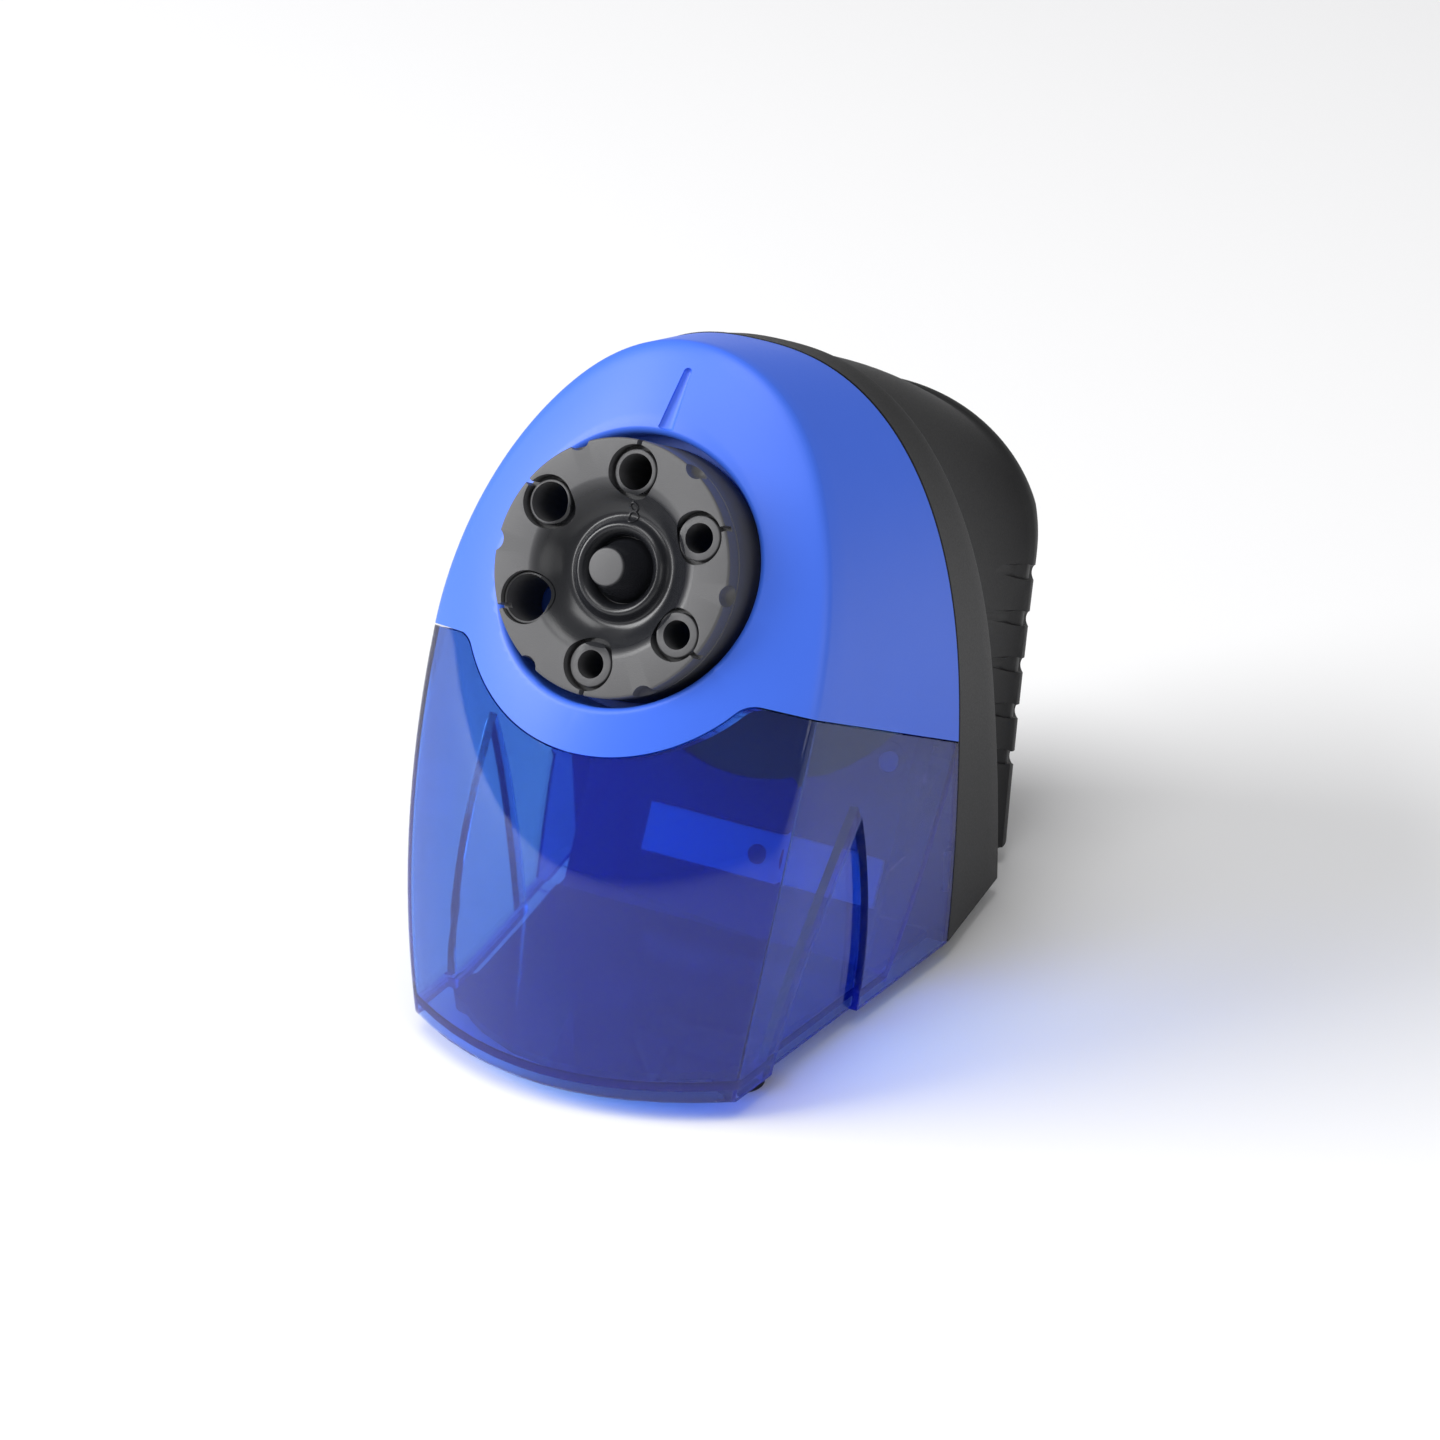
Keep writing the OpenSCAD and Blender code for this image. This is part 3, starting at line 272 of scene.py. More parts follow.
def smooth(piece, angle=32):
    """Shades a piece smoothly, except across edges sharper than the angle."""
    bm = bmesh.new()
    bm.from_mesh(piece.data)
    for face in bm.faces:
        face.smooth = True
    for edge in bm.edges:
        edge.smooth = len(edge.link_faces) == 2 and edge.calc_face_angle(0) < math.radians(angle)
    bm.to_mesh(piece.data)
    bm.free()


def front_solid(name, inset=0, low=None, past=0):
    """The whole front part, pulled in by inset, from the face to the seam and past it."""
    low = bottom_z if low is None else low
    crease = arch_loop(CREASE_HALF_W - inset, crease_mid_z, overall_h - inset, low, 2, FOOT_TAPER)
    seam = arch_loop(half_w - inset, seam_mid_z, overall_h - SEAM_FALL - inset, low, *SEAM_FORM)
    edge_r = EDGE_R if inset == 0 else 0.1
    loops = []
    for share in [k / FACE_RINGS for k in range(1, FACE_RINGS)] + [1 - edge_r / CREASE_HALF_W, 1]:
        flat = [(x * share, crease_mid_z + (z - crease_mid_z) * share) for x, z in crease]
        loops.append([(x, face_y(x, z, inset) + inset, z) for x, z in flat])
    corner = loops.pop()
    face_edge = [Vector(p) for p in loops.pop()]
    sides = [Vector((x, seam_y, z)) - Vector(c) for (x, z), c in zip(seam, corner)]
    side_edge = [Vector(c) + s.normalized() * edge_r for c, s in zip(corner, sides)]
    for t in (0, 0.25, 0.5, 0.75, 1):
        loops.append([f * (1 - t) ** 2 + Vector(c) * 2 * t * (1 - t) + e * t * t
                      for f, c, e in zip(face_edge, corner, side_edge)])
    for share in (0.15, 0.35, 0.6, 0.85):
        loops.append([Vector(c) + s * share for c, s in zip(corner, sides)])
    lip = SEAM_LIP if inset == 0 else 0
    loops.append([(x, seam_y - lip, z) for x, z in seam])
    scale = 1 - lip / half_w
    loops.append([(x * scale, seam_y + past, seam_mid_z + (z - seam_mid_z) * scale) for x, z in seam])
    return loft(name, loops, (0, face_y(0, crease_mid_z, inset) + inset, crease_mid_z),
                (0, seam_y + past, crease_mid_z))


lean_matrix = Matrix.Translation(dial_centre) @ Matrix.Rotation(math.pi / 2 - LEAN, 4, "X")


def leaning(name, bm):
    """A piece drawn in the dial's own frame, in millimetres: Z out of the face, Y up it."""
    bmesh.ops.transform(bm, matrix=lean_matrix @ Matrix.Scale(MM, 4), verts=bm.verts)
    bmesh.ops.recalc_face_normals(bm, faces=bm.faces)
    return from_bmesh(name, bm)


def on_dial(x, v, s):
    """A point of the dial's frame, in millimetres, as a point of the whole object's frame."""
    return lean_matrix @ (Vector((x, v, -s)) * MM)


def rod(name, radius, x, v, s_from, s_to, sides=64):
    """A plain rod parallel to the pencil, used as a cutting tool."""
    bm = bmesh.new()
    bmesh.ops.create_cone(bm, cap_ends=True, segments=sides, radius1=radius, radius2=radius,
                          depth=s_to - s_from)
    bmesh.ops.translate(bm, vec=(x, v, -(s_from + s_to) / 2), verts=bm.verts)
    return leaning(name, bm)


def spun(name, outline, steps=128, move=None):
    """A solid turned about the dial's axis from (radius, height) points that begin and end on it."""
    bm = bmesh.new()
    verts = [bm.verts.new((r, 0, z)) for r, z in outline]
    edges = [bm.edges.new(pair) for pair in zip(verts, verts[1:])]
    bmesh.ops.spin(bm, geom=verts + edges, cent=(0, 0, 0), axis=(0, 0, 1), angle=2 * math.pi,
                   steps=steps, use_merge=True)
    bmesh.ops.remove_doubles(bm, verts=bm.verts, dist=1e-4)
    for vert in bm.verts if move else []:
        vert.co = move(vert.co)
    return leaning(name, bm)


def face_height(x, v):
    """How far the shell's face stands out of the dial's plane at a place on it."""
    low, high = -60, 40
    for _ in range(40):
        mid = (low + high) / 2
        p = on_dial(x, v, -mid) / MM
        low, high = (mid, high) if p.y > face_y(p.x, p.z) else (low, mid)
    return low


def well_tool():
    """The dial's well: a plain round pocket whose mouth is rounded where it meets the curved face."""
    round_r = 1.7
    arc = [(WELL_R + round_r * (1 - math.cos(a)), round_r * (math.sin(a) - 1))
           for a in [math.pi / 2 * k / 8 for k in range(9)]]
    outline = [(0, -WELL_S), (WELL_R, -WELL_S), (WELL_R, -2 * round_r)]
    outline += [(r, z) for r, z in arc] + [(WELL_R + round_r + 0.6, 12), (0, 12)]

    def follow(p):
        r = math.hypot(p.x, p.y)
        if p.z < -WELL_S + 1 or r < 1:
            return p
        a = math.atan2(p.y, p.x)
        rim = WELL_R + round_r
        return Vector((p.x, p.y, p.z + face_height(rim * math.cos(a), rim * math.sin(a))))

    return spun("well_tool", outline, 160, follow)


def tray_line(name, gap=0.0):
    """Everything below the tray's top edge and outside the collar, as a leaning prism."""
    bend_r = 6.5
    side, down, back, ahead = 150, 260, 220, 180
    drop = TRAY_DROP + gap
    collar = COLLAR_R + gap
    bend_v = -drop - bend_r
    bend_x = math.sqrt((collar + bend_r) ** 2 - bend_v ** 2)
    meet = math.atan2(-bend_v, -bend_x)
    outline = [(-side, -drop)]
    bends = [math.pi / 2 + (meet - math.pi / 2) * k / 12 for k in range(13)]
    left = [(bend_x + bend_r * math.cos(a), bend_v + bend_r * math.sin(a)) for a in bends]
    outline += [(-x, v) for x, v in left]
    sweep = math.asin(bend_x / (collar + bend_r))
    for k in range(1, 60):
        a = -math.pi / 2 - sweep + 2 * sweep * k / 60
        outline.append((collar * math.cos(a), collar * math.sin(a)))
    outline += list(reversed(left)) + [(side, -drop), (side, -down), (-side, -down)]
    bm = bmesh.new()
    base = bm.faces.new([bm.verts.new((x, v, -back)) for x, v in outline])
    raised = bmesh.ops.extrude_face_region(bm, geom=[base])["geom"]
    top = [g for g in raised if isinstance(g, bmesh.types.BMVert)]
    bmesh.ops.translate(bm, vec=(0, 0, back + ahead), verts=top)
    return leaning(name, bm)


def groove_tool():
    """The pointer groove: a round-ended cut in the face that widens where it runs into the well."""
    low = Vector((0, centre_y(dial_z + POINTER_LOW), dial_z + POINTER_LOW))
    high = Vector((0, centre_y(dial_z + POINTER_HIGH), dial_z + POINTER_HIGH))
    along = high - low
    bm = bmesh.new()
    bmesh.ops.create_uvsphere(bm, u_segments=32, v_segments=24, radius=POINTER_R)
    top = [v for v in bm.verts if v.co.z > 0.001]
    bmesh.ops.translate(bm, vec=(0, 0, along.length), verts=top)
    for vert in bm.verts:
        widen = max(0, 1 - (vert.co.z + 1) / 4) ** 2
        vert.co.x *= 1 + 1.6 * widen
    turn = along.to_track_quat("Z", "Y").to_matrix().to_4x4()
    bmesh.ops.transform(bm, matrix=Matrix.Scale(MM, 4) @ Matrix.Translation(low) @ turn, verts=bm.verts)
    bmesh.ops.recalc_face_normals(bm, faces=bm.faces)
    return from_bmesh("groove_tool", bm)


# Satin ABS, moulded against an eroded steel face: a soft sheen, and a fine grain that breaks it up.
# The grain is drawn at 0.45 mm, coarser than the real 0.1 mm, so that it shows.
blue_abs = new_material("satin_blue_abs")
where = add(blue_abs, "ShaderNodeTexCoord").outputs["Object"]
grain = add(blue_abs, "ShaderNodeTexNoise", Vector=where, Scale=2200, Detail=3, Roughness=0.6)
cloud = add(blue_abs, "ShaderNodeTexNoise", Vector=where, Scale=28, Detail=2)
tint = add(blue_abs, "ShaderNodeMix", {"data_type": "RGBA"}, Factor=cloud.outputs["Fac"])
tint.inputs["A"].default_value = srgb("#3867DF")
tint.inputs["B"].default_value = srgb("#3C6CE6")
sheen = add(blue_abs, "ShaderNodeMapRange", Value=grain.outputs["Fac"], To_Min=0.36, To_Max=0.5)
bump = add(blue_abs, "ShaderNodeBump", Height=grain.outputs["Fac"], Strength=0.12, Distance=0.0001)
finish_surface(blue_abs, add(blue_abs, "ShaderNodeBsdfPrincipled", Base_Color=tint.outputs["Result"],
                             Roughness=sheen.outputs["Result"], Normal=bump.outputs["Normal"], IOR=1.5))

inner = front_solid("inner", WALL, bottom_z - 1, 1)
cup = rod("cup", WELL_R + WALL, 0, 0, -20, WELL_S + WALL, 160)
join_or_cut(inner, ("DIFFERENCE", cup))
zone = tray_line("zone")
well = well_tool()
bore = rod("bore", WORK_BORE_R, 0, WORK_BORE_V, WELL_S - 6, WELL_S + WALL + 2)
groove = groove_tool()
shell = front_solid("shell_moulding")
join_or_cut(shell, ("DIFFERENCE", inner), ("DIFFERENCE", zone), ("DIFFERENCE", well),
            ("DIFFERENCE", bore), ("DIFFERENCE", groove))
smooth(shell)
shell.data.materials.clear()
shell.data.materials.append(blue_abs)
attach(shell, "housing")
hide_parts("front_shell")
bin_tools(inner, cup, zone, well, bore, groove)

# ---------------------------------------------------------------- shavings tray
# The pull-out tray is a clear blue styrene moulding with 2.6 mm walls, a flat floor and a leaning
# back wall. The base's tongue lies under its floor. A pointed recess on each side gives the fingers
# a hold.

TRAY_GAP = 0.4
BIN_BACK_S = 98.6
FLOOR_T = 2.5
TONGUE_T = 2.2
floor_low = bottom_z + TONGUE_T + TRAY_GAP
floor_top = floor_low + FLOOR_T
BIG = 300
RECESS_HALF_W, RECESS_DEPTH = 18.4, 2.2
RECESS_INNER_X, RECESS_SWEEP, RECESS_POINT = 24, 1.3, 1.8
recess_foot_y = dial_y + 13.8
recess_apex_y, recess_apex_z = dial_y + 27, dial_z - 66


def block(bm, low, high):
    made = bmesh.ops.create_cube(bm, size=1)["verts"]
    span = Vector(high) - Vector(low)
    bmesh.ops.scale(bm, vec=span, verts=made)
    bmesh.ops.translate(bm, vec=(Vector(low) + Vector(high)) / 2, verts=made)
    return made


def leaning_block(name, s_from, s_to):
    """Everything between two depths behind the dial's face."""
    bm = bmesh.new()
    block(bm, (-BIG, -BIG, -s_to), (BIG, BIG, -s_from))
    return leaning(name, bm)


def level_block(name, z_from, z_to):
    """Everything between two heights above the table."""
    bm = bmesh.new()
    verts = block(bm, (-BIG, -BIG, z_from), (BIG, BIG, z_to))
    bmesh.ops.scale(bm, vec=(MM, MM, MM), verts=verts)
    return from_bmesh(name, bm)


def finger_arch(name, grow=0.0):
    """A pointed arch cut through both sides, from below the tray up to its apex."""
    bm = bmesh.new()
    steps = 20
    low_z, tall = bottom_z - 1, recess_apex_z + grow - bottom_z + 1
    outline = []
    for side in (1, -1):
        for k in (range(steps + 1) if side > 0 else range(steps - 1, -1, -1)):
            f = k / steps
            middle = recess_foot_y + (recess_apex_y - recess_foot_y) * f ** RECESS_SWEEP
            reach = (RECESS_HALF_W + grow) * (1 - f ** RECESS_POINT)
            outline.append((middle + side * reach, low_z + tall * f))
    base = bm.faces.new([bm.verts.new((RECESS_INNER_X, y, z)) for y, z in outline])
    raised = bmesh.ops.extrude_face_region(bm, geom=[base])["geom"]
    outer = [g for g in raised if isinstance(g, bmesh.types.BMVert)]
    bmesh.ops.translate(bm, vec=(60, 0, 0), verts=outer)
    bmesh.ops.mirror(bm, geom=bm.verts[:] + bm.edges[:] + bm.faces[:], axis="X", merge_dist=0)
    bmesh.ops.scale(bm, vec=(MM, MM, MM), verts=bm.verts)
    bmesh.ops.recalc_face_normals(bm, faces=bm.faces)
    return from_bmesh(name, bm)


def finger_recess(name, behind, grow=0.0):
    """The arch, in the tray's skin down to a depth that follows the side wall."""
    arch_tool = finger_arch(name, grow)
    core = front_solid("core", RECESS_DEPTH + behind, bottom_z - 2, 1)
    join_or_cut(arch_tool, ("DIFFERENCE", core))
    bin_tools(core)
    return arch_tool


# Clear styrene, dyed through: pale where seen square on, deep violet blue along its edges. It has a
# trace of haze all over, and more on the back wall and the floor, where the mould is less polished.
HAZE_ALL, HAZE_BACK, HAZE_FLOOR = 0.045, 0.16, 0.13
# How far off each surface, in millimetres, its haze begins and is full.
BACK_HAZE_BEGINS, BACK_HAZE_FULL = 0.6, 0.2
FLOOR_HAZE_BEGINS, FLOOR_HAZE_FULL = 1.1, 0.5
clear_blue = new_material("clear_blue_styrene")
where = add(clear_blue, "ShaderNodeTexCoord").outputs["Object"]
flow = add(clear_blue, "ShaderNodeTexNoise", Vector=where, Scale=45, Detail=2)
polish = add(clear_blue, "ShaderNodeMapRange", Value=flow.outputs["Fac"], To_Min=0.02, To_Max=0.06)
ripple = add(clear_blue, "ShaderNodeBump", Height=flow.outputs["Fac"], Strength=0.05, Distance=0.0005)
resin = add(clear_blue, "ShaderNodeBsdfPrincipled", Base_Color=(1, 1, 1, 1), Transmission_Weight=1.0,
            Roughness=polish.outputs["Result"], Normal=ripple.outputs["Normal"], IOR=1.5)
open_to_lamps = add(clear_blue, "ShaderNodeBsdfTransparent", Color=(1, 1, 1, 1))
ray = add(clear_blue, "ShaderNodeLightPath")
in_dial_frame = add(clear_blue, "ShaderNodeMapping", {"vector_type": "TEXTURE"}, Vector=where,
                    Location=dial_centre, Rotation=(math.pi / 2 - LEAN, 0, 0), Scale=(MM, MM, MM))
behind_dial = add(clear_blue, "ShaderNodeSeparateXYZ", Vector=in_dial_frame.outputs[0])
bin_back = WALL - BIN_BACK_S
back_wall = add(clear_blue, "ShaderNodeMapRange", Value=behind_dial.outputs["Z"],
                From_Min=bin_back + BACK_HAZE_BEGINS, From_Max=bin_back + BACK_HAZE_FULL,
                To_Min=HAZE_ALL, To_Max=HAZE_BACK)
height = add(clear_blue, "ShaderNodeSeparateXYZ", Vector=where)
bin_floor = add(clear_blue, "ShaderNodeMapRange", Value=height.outputs["Z"],
                From_Min=(floor_top + FLOOR_HAZE_BEGINS) * MM, To_Min=0.0,
                From_Max=(floor_top + FLOOR_HAZE_FULL) * MM, To_Max=HAZE_FLOOR)
frosted = add(clear_blue, "ShaderNodeMath", {"operation": "MAXIMUM"}, _0=back_wall.outputs["Result"],
              _1=bin_floor.outputs["Result"])
haze = add(clear_blue, "ShaderNodeBsdfPrincipled", Base_Color=srgb("#1A3BE8"),
           Roughness=polish.outputs["Result"], Normal=ripple.outputs["Normal"], IOR=1.5)
hazy_resin = add(clear_blue, "ShaderNodeMixShader", _0=frosted.outputs[0], _1=resin.outputs[0],
                 _2=haze.outputs[0])
resin_or_lamps = add(clear_blue, "ShaderNodeMixShader", _0=ray.outputs["Is Shadow Ray"],
                     _1=hazy_resin.outputs[0], _2=open_to_lamps.outputs[0])
dye = add(clear_blue, "ShaderNodeVolumeAbsorption", Color=(0.16, 0.55, 0.88, 1), Density=500)
add(clear_blue, "ShaderNodeOutputMaterial", Surface=resin_or_lamps.outputs[0], Volume=dye.outputs[0])

zone = tray_line("zone", TRAY_GAP)
bin_space = front_solid("bin_space", WALL, bottom_z - 1, 1)
behind_space = front_solid("behind_space", WALL, bottom_z - 1, 1)
under_space = front_solid("under_space", WALL, bottom_z - 1, 1)
in_front = leaning_block("in_front", -BIG, BIN_BACK_S - WALL)
behind = leaning_block("behind", BIN_BACK_S, BIG)
in_front_too = leaning_block("in_front_too", -BIG, BIN_BACK_S)
above_floor = level_block("above_floor", floor_top, BIG)
below_floor = level_block("below_floor", -BIG, floor_low)
recess = finger_recess("recess", 0)
recess_wall = finger_recess("recess_wall", WALL, WALL)
join_or_cut(bin_space, ("INTERSECT", in_front), ("INTERSECT", above_floor), ("DIFFERENCE", recess_wall))
join_or_cut(behind_space, ("INTERSECT", behind), ("DIFFERENCE", recess_wall))
join_or_cut(under_space, ("INTERSECT", in_front_too), ("INTERSECT", below_floor),
            ("DIFFERENCE", recess_wall))
tray = front_solid("tray_moulding")
join_or_cut(tray, ("INTERSECT", zone), ("DIFFERENCE", bin_space), ("DIFFERENCE", behind_space),
            ("DIFFERENCE", under_space), ("DIFFERENCE", recess))
smooth(tray)
tray.data.materials.clear()
tray.data.materials.append(clear_blue)
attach(tray, "tray")
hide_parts("shavings_tray")
bin_tools(zone, bin_space, behind_space, under_space, in_front, behind, in_front_too, above_floor,
          below_floor, recess, recess_wall)

# ---------------------------------------------------------------- rear housing
# The motor sits in a black ABS housing with a matt, eroded skin. A belt follows the seam, and behind
# it the grip steps in and carries five shallow grooves on each side, in line with the pencil.

BELT_TOP_D, BELT_LEAN, BELT_INSET, BELT_FALL = 13, math.radians(8.8), 3.9, 5.4
GRIP_HALF_W, GRIP_STEP, GRIP_TOP_DROP = 42.5, 2.5, 20
BACK_LEAN, BACK_ROUND, BACK_BULGE = math.radians(12.9), 7, 2
BACK_TOP_D, BACK_CORNER_D, BACK_MID_D, BACK_EDGE = 10, 37, 50, 5
GRIP_MID_D, GRIP_IN, WAIST_IN, BELT_ROUND = 60, 1.5, 2.2, 0.9
GRIP_FORM, WAIST_FORM, BACK_FORM = (2.4, -1), (2.3, -2), (2.1, -1.5)
GROOVE_R, GROOVE_DEPTH, GROOVE_L, GROOVE_PITCH = 2, 1, 50, 13.2
GROOVE_RUN_Y, GROOVE_TOP_D, GROOVE_TILT = 57, 48, math.radians(3)
INLET_R, INLET_L = 5.2, 40


def rear_solid(name, inset=0):
    """The whole rear part, pulled in by inset, from the seam to the back."""
    start = seam_y if inset == 0 else seam_y - 1
    low = bottom_z if inset == 0 else bottom_z - 1
    belt_top = overall_h - SEAM_FALL - BELT_FALL
    grip_top, grip_mid = overall_h - GRIP_TOP_DROP, dial_z - GRIP_MID_D
    back_top, back_mid = dial_z - BACK_TOP_D, dial_z - BACK_MID_D

    def belt_y(z):
        return seam_y + BELT_TOP_D + (belt_top - z) * math.tan(BELT_LEAN) - inset

    def end_y(z):
        return back_y - BACK_BULGE - max(0, dial_z - BACK_CORNER_D - z) * math.tan(BACK_LEAN) - inset

    def crown(share):
        return grip_top + (back_top - grip_top) * share - inset

    def edge(into, forward):
        loop = arch_loop(GRIP_HALF_W - into - inset, back_mid, crown(1) - into, low, *BACK_FORM)
        return [Vector((x, end_y(z) - forward, z)) for x, z in loop]

    seam = arch_loop(half_w - inset, seam_mid_z, overall_h - SEAM_FALL - inset, low, *SEAM_FORM)
    belt = arch_loop(half_w - BELT_INSET - inset, seam_mid_z, belt_top - inset, low, *SEAM_FORM)
    grip = arch_loop(GRIP_HALF_W - GRIP_IN - inset, grip_mid, crown(0), low, *GRIP_FORM)
    waist = arch_loop(GRIP_HALF_W - WAIST_IN - inset, grip_mid, crown(0.5), low, *WAIST_FORM)
    seam = [Vector((x, seam_y, z)) for x, z in seam]
    belt = [Vector((x, belt_y(z), z)) for x, z in belt]
    grip = [Vector((x, belt_y(z) + GRIP_STEP, z)) for x, z in grip]
    waist = [Vector((x, (belt_y(z) + end_y(z)) / 2, z)) for x, z in waist]
    corner = edge(0, BACK_ROUND)
    lip = SEAM_LIP if inset == 0 else 0
    shrink = 1 - lip / half_w
    loops = [[(p.x * shrink, start, seam_mid_z + (p.z - seam_mid_z) * shrink) for p in seam],
             [(p.x, seam_y + lip, p.z) for p in seam]]
    for share in (0.25, 0.5, 0.75):
        loops.append([s + (b - s) * share for s, b in zip(seam, belt)])
    for t in (0, 0.25, 0.5, 0.75, 1):
        loops.append([(b + (s - b).normalized() * BELT_ROUND) * (1 - t) ** 2 + b * 2 * t * (1 - t)
                      + (b + (g - b).normalized() * BELT_ROUND) * t * t
                      for s, b, g in zip(seam, belt, grip)])
    for t in [k / 12 for k in range(12)]:
        loops.append([g * (1 - t) * (1 - 2 * t) + w * 4 * t * (1 - t) + c * t * (2 * t - 1)
                      for g, w, c in zip(grip, waist, corner)])
    for k in range(11):
        a = math.pi / 2 * k / 10
        loops.append(edge(BACK_EDGE * (1 - math.cos(a)), BACK_ROUND * (1 - math.sin(a))))
    for share in (0.93, 0.8, 0.6, 0.4, 0.2):
        bulge = BACK_BULGE * min(1, (1 - share ** 2) / 0.75)
        ring = [(p.x * share, back_mid + (p.z - back_mid) * share) for p in edge(BACK_EDGE, 0)]
        loops.append([(x, end_y(z) + bulge, z) for x, z in ring])
    return loft(name, loops, (0, start, seam_mid_z), (0, end_y(back_mid) + BACK_BULGE, back_mid))


def grip_grooves():
    """Ten round-bottomed grooves, cut no deeper than one millimetre into the grip."""
    bm = bmesh.new()
    run = Vector((0, math.cos(LEAN - GROOVE_TILT), -math.sin(LEAN - GROOVE_TILT)))
    turn = run.to_track_quat("Z", "X").to_matrix().to_4x4()
    for side in (-1, 1):
        for i in range(5):
            place = Vector((side * (GRIP_HALF_W - 0.6), seam_y + GROOVE_RUN_Y,
                            dial_z - GROOVE_TOP_D - i * GROOVE_PITCH))
            bmesh.ops.create_cone(bm, cap_ends=True, segments=40, radius1=GROOVE_R, radius2=GROOVE_R,
                                  depth=GROOVE_L, matrix=Matrix.Translation(place) @ turn)
    bmesh.ops.scale(bm, vec=(MM, MM, MM), verts=bm.verts)
    grooves = from_bmesh("grooves", bm)
    core = rear_solid("core", GROOVE_DEPTH)
    join_or_cut(grooves, ("DIFFERENCE", core))
    bin_tools(core)
    return grooves


# Black ABS from an eroded mould: dull and slightly grey, with a grain that breaks up its sheen.
# The grain is drawn at 0.5 mm, coarser than the real 0.15 mm, so that it shows.
black_abs = new_material("matt_black_abs")
where = add(black_abs, "ShaderNodeTexCoord").outputs["Object"]
grain = add(black_abs, "ShaderNodeTexNoise", Vector=where, Scale=2000, Detail=3, Roughness=0.65)
sheen = add(black_abs, "ShaderNodeMapRange", Value=grain.outputs["Fac"], To_Min=0.42, To_Max=0.62)
bump = add(black_abs, "ShaderNodeBump", Height=grain.outputs["Fac"], Strength=0.25, Distance=0.00012)
finish_surface(black_abs, add(black_abs, "ShaderNodeBsdfPrincipled", Base_Color=srgb("#101012"),
                              Roughness=sheen.outputs["Result"], Normal=bump.outputs["Normal"],
                              Specular_IOR_Level=0.3))

rear = rear_solid("rear_moulding")
rear_space = rear_solid("rear_space", WALL)
grooves = grip_grooves()
inlet = next(m for m in frame["record"]["mounts"] if m["name"] == "cord_inlet")
bm = bmesh.new()
bmesh.ops.create_cone(bm, cap_ends=True, segments=48, radius1=INLET_R * MM, radius2=INLET_R * MM,
                      depth=INLET_L * MM)
bmesh.ops.transform(bm, matrix=Matrix.Translation(inlet["pos_m"])
                    @ Vector(inlet["axis"]).to_track_quat("Z", "X").to_matrix().to_4x4(), verts=bm.verts)
inlet_hole = from_bmesh("inlet_hole", bm)
join_or_cut(rear, ("DIFFERENCE", rear_space), ("DIFFERENCE", grooves), ("DIFFERENCE", inlet_hole))
smooth(rear)
rear.data.materials.clear()
rear.data.materials.append(black_abs)
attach(rear, "housing")
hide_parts("rear_housing")
bin_tools(rear_space, grooves, inlet_hole)

# ---------------------------------------------------------------- dial
# The selector is one dark grey ABS moulding that turns on a hub pin. Its flat ring and its side are
# eroded, and its dish is smooth. Each pencil hole stands as a boss in its own round pocket, which a
# narrow slot opens to the rim, and six scallops between the holes give the fingertips a grip. Six
# dimples in its back take the detent ball.

DIAL_R, DIAL_T = 30.9, 20.0
CRATER_FLOOR, CRATER_R, CRATER_RIM, CRATER_LIP = 8.0, 10.4, 4.0, 2.4
VALLEY_R, VALLEY_D, DISH_R = 13.0, 6.0, 21.8
POCKET_R, POCKET_D, BOSS_DROP = 6.45, 3.8, 1.4
BOSS_R, BOSS_WALL, BOSS_SOFT = 5.4, 0.6, 0.35
SLOT_W, SLOT_FROM, SLOT_TO = 1.3, 28.9, 34
SCALLOP_R, SCALLOP_OUT, SCALLOP_D, SCALLOP_L = 2.9, 1.2, 2.6, 6
UPPER_RING_V, UPPER_RING_R = 15.0, 0.95
LOWER_RING_V, LOWER_RING_R = 12.75, 1.15
RING_WIRE_R, RING_LIFT = 0.28, 0.08
HOLE_STEP = 60
DETENT_TRAVEL, DIMPLE_PLAY = 0.7, 0.15
holes = [m for m in frame["record"]["mounts"] if m["name"].startswith("pencil_hole")]
to_local = lean_matrix.inverted()
hole_spots = [(to_local @ Vector(m["pos_m"]) / MM, m["dims"]["r_mm"]) for m in holes]


def arc_points(centre, radius, a_from, a_to, steps):
    return [(centre[0] + radius * math.cos(math.radians(a_from + (a_to - a_from) * k / steps)),
             centre[1] + radius * math.sin(math.radians(a_from + (a_to - a_from) * k / steps)))
            for k in range(steps + 1)]


def dish_height(r):
    """Height of the dish at a radius: the crater's rounded rim, a valley, and a slope to the ring."""
    if r < CRATER_R:
        fall = CRATER_FLOOR - CRATER_RIM
        return -CRATER_RIM - fall * (1 - max(0, 1 - ((CRATER_R - r) / CRATER_LIP) ** 2) ** 0.5)
    if r < VALLEY_R:
        t = (r - CRATER_R) / (VALLEY_R - CRATER_R)
        return -CRATER_RIM - (VALLEY_D - CRATER_RIM) * (1 - math.cos(math.pi * t)) / 2
    t = min(1, (r - VALLEY_R) / (DISH_R - VALLEY_R))
    return -VALLEY_D * (1 - t * t * (3 - 2 * t))


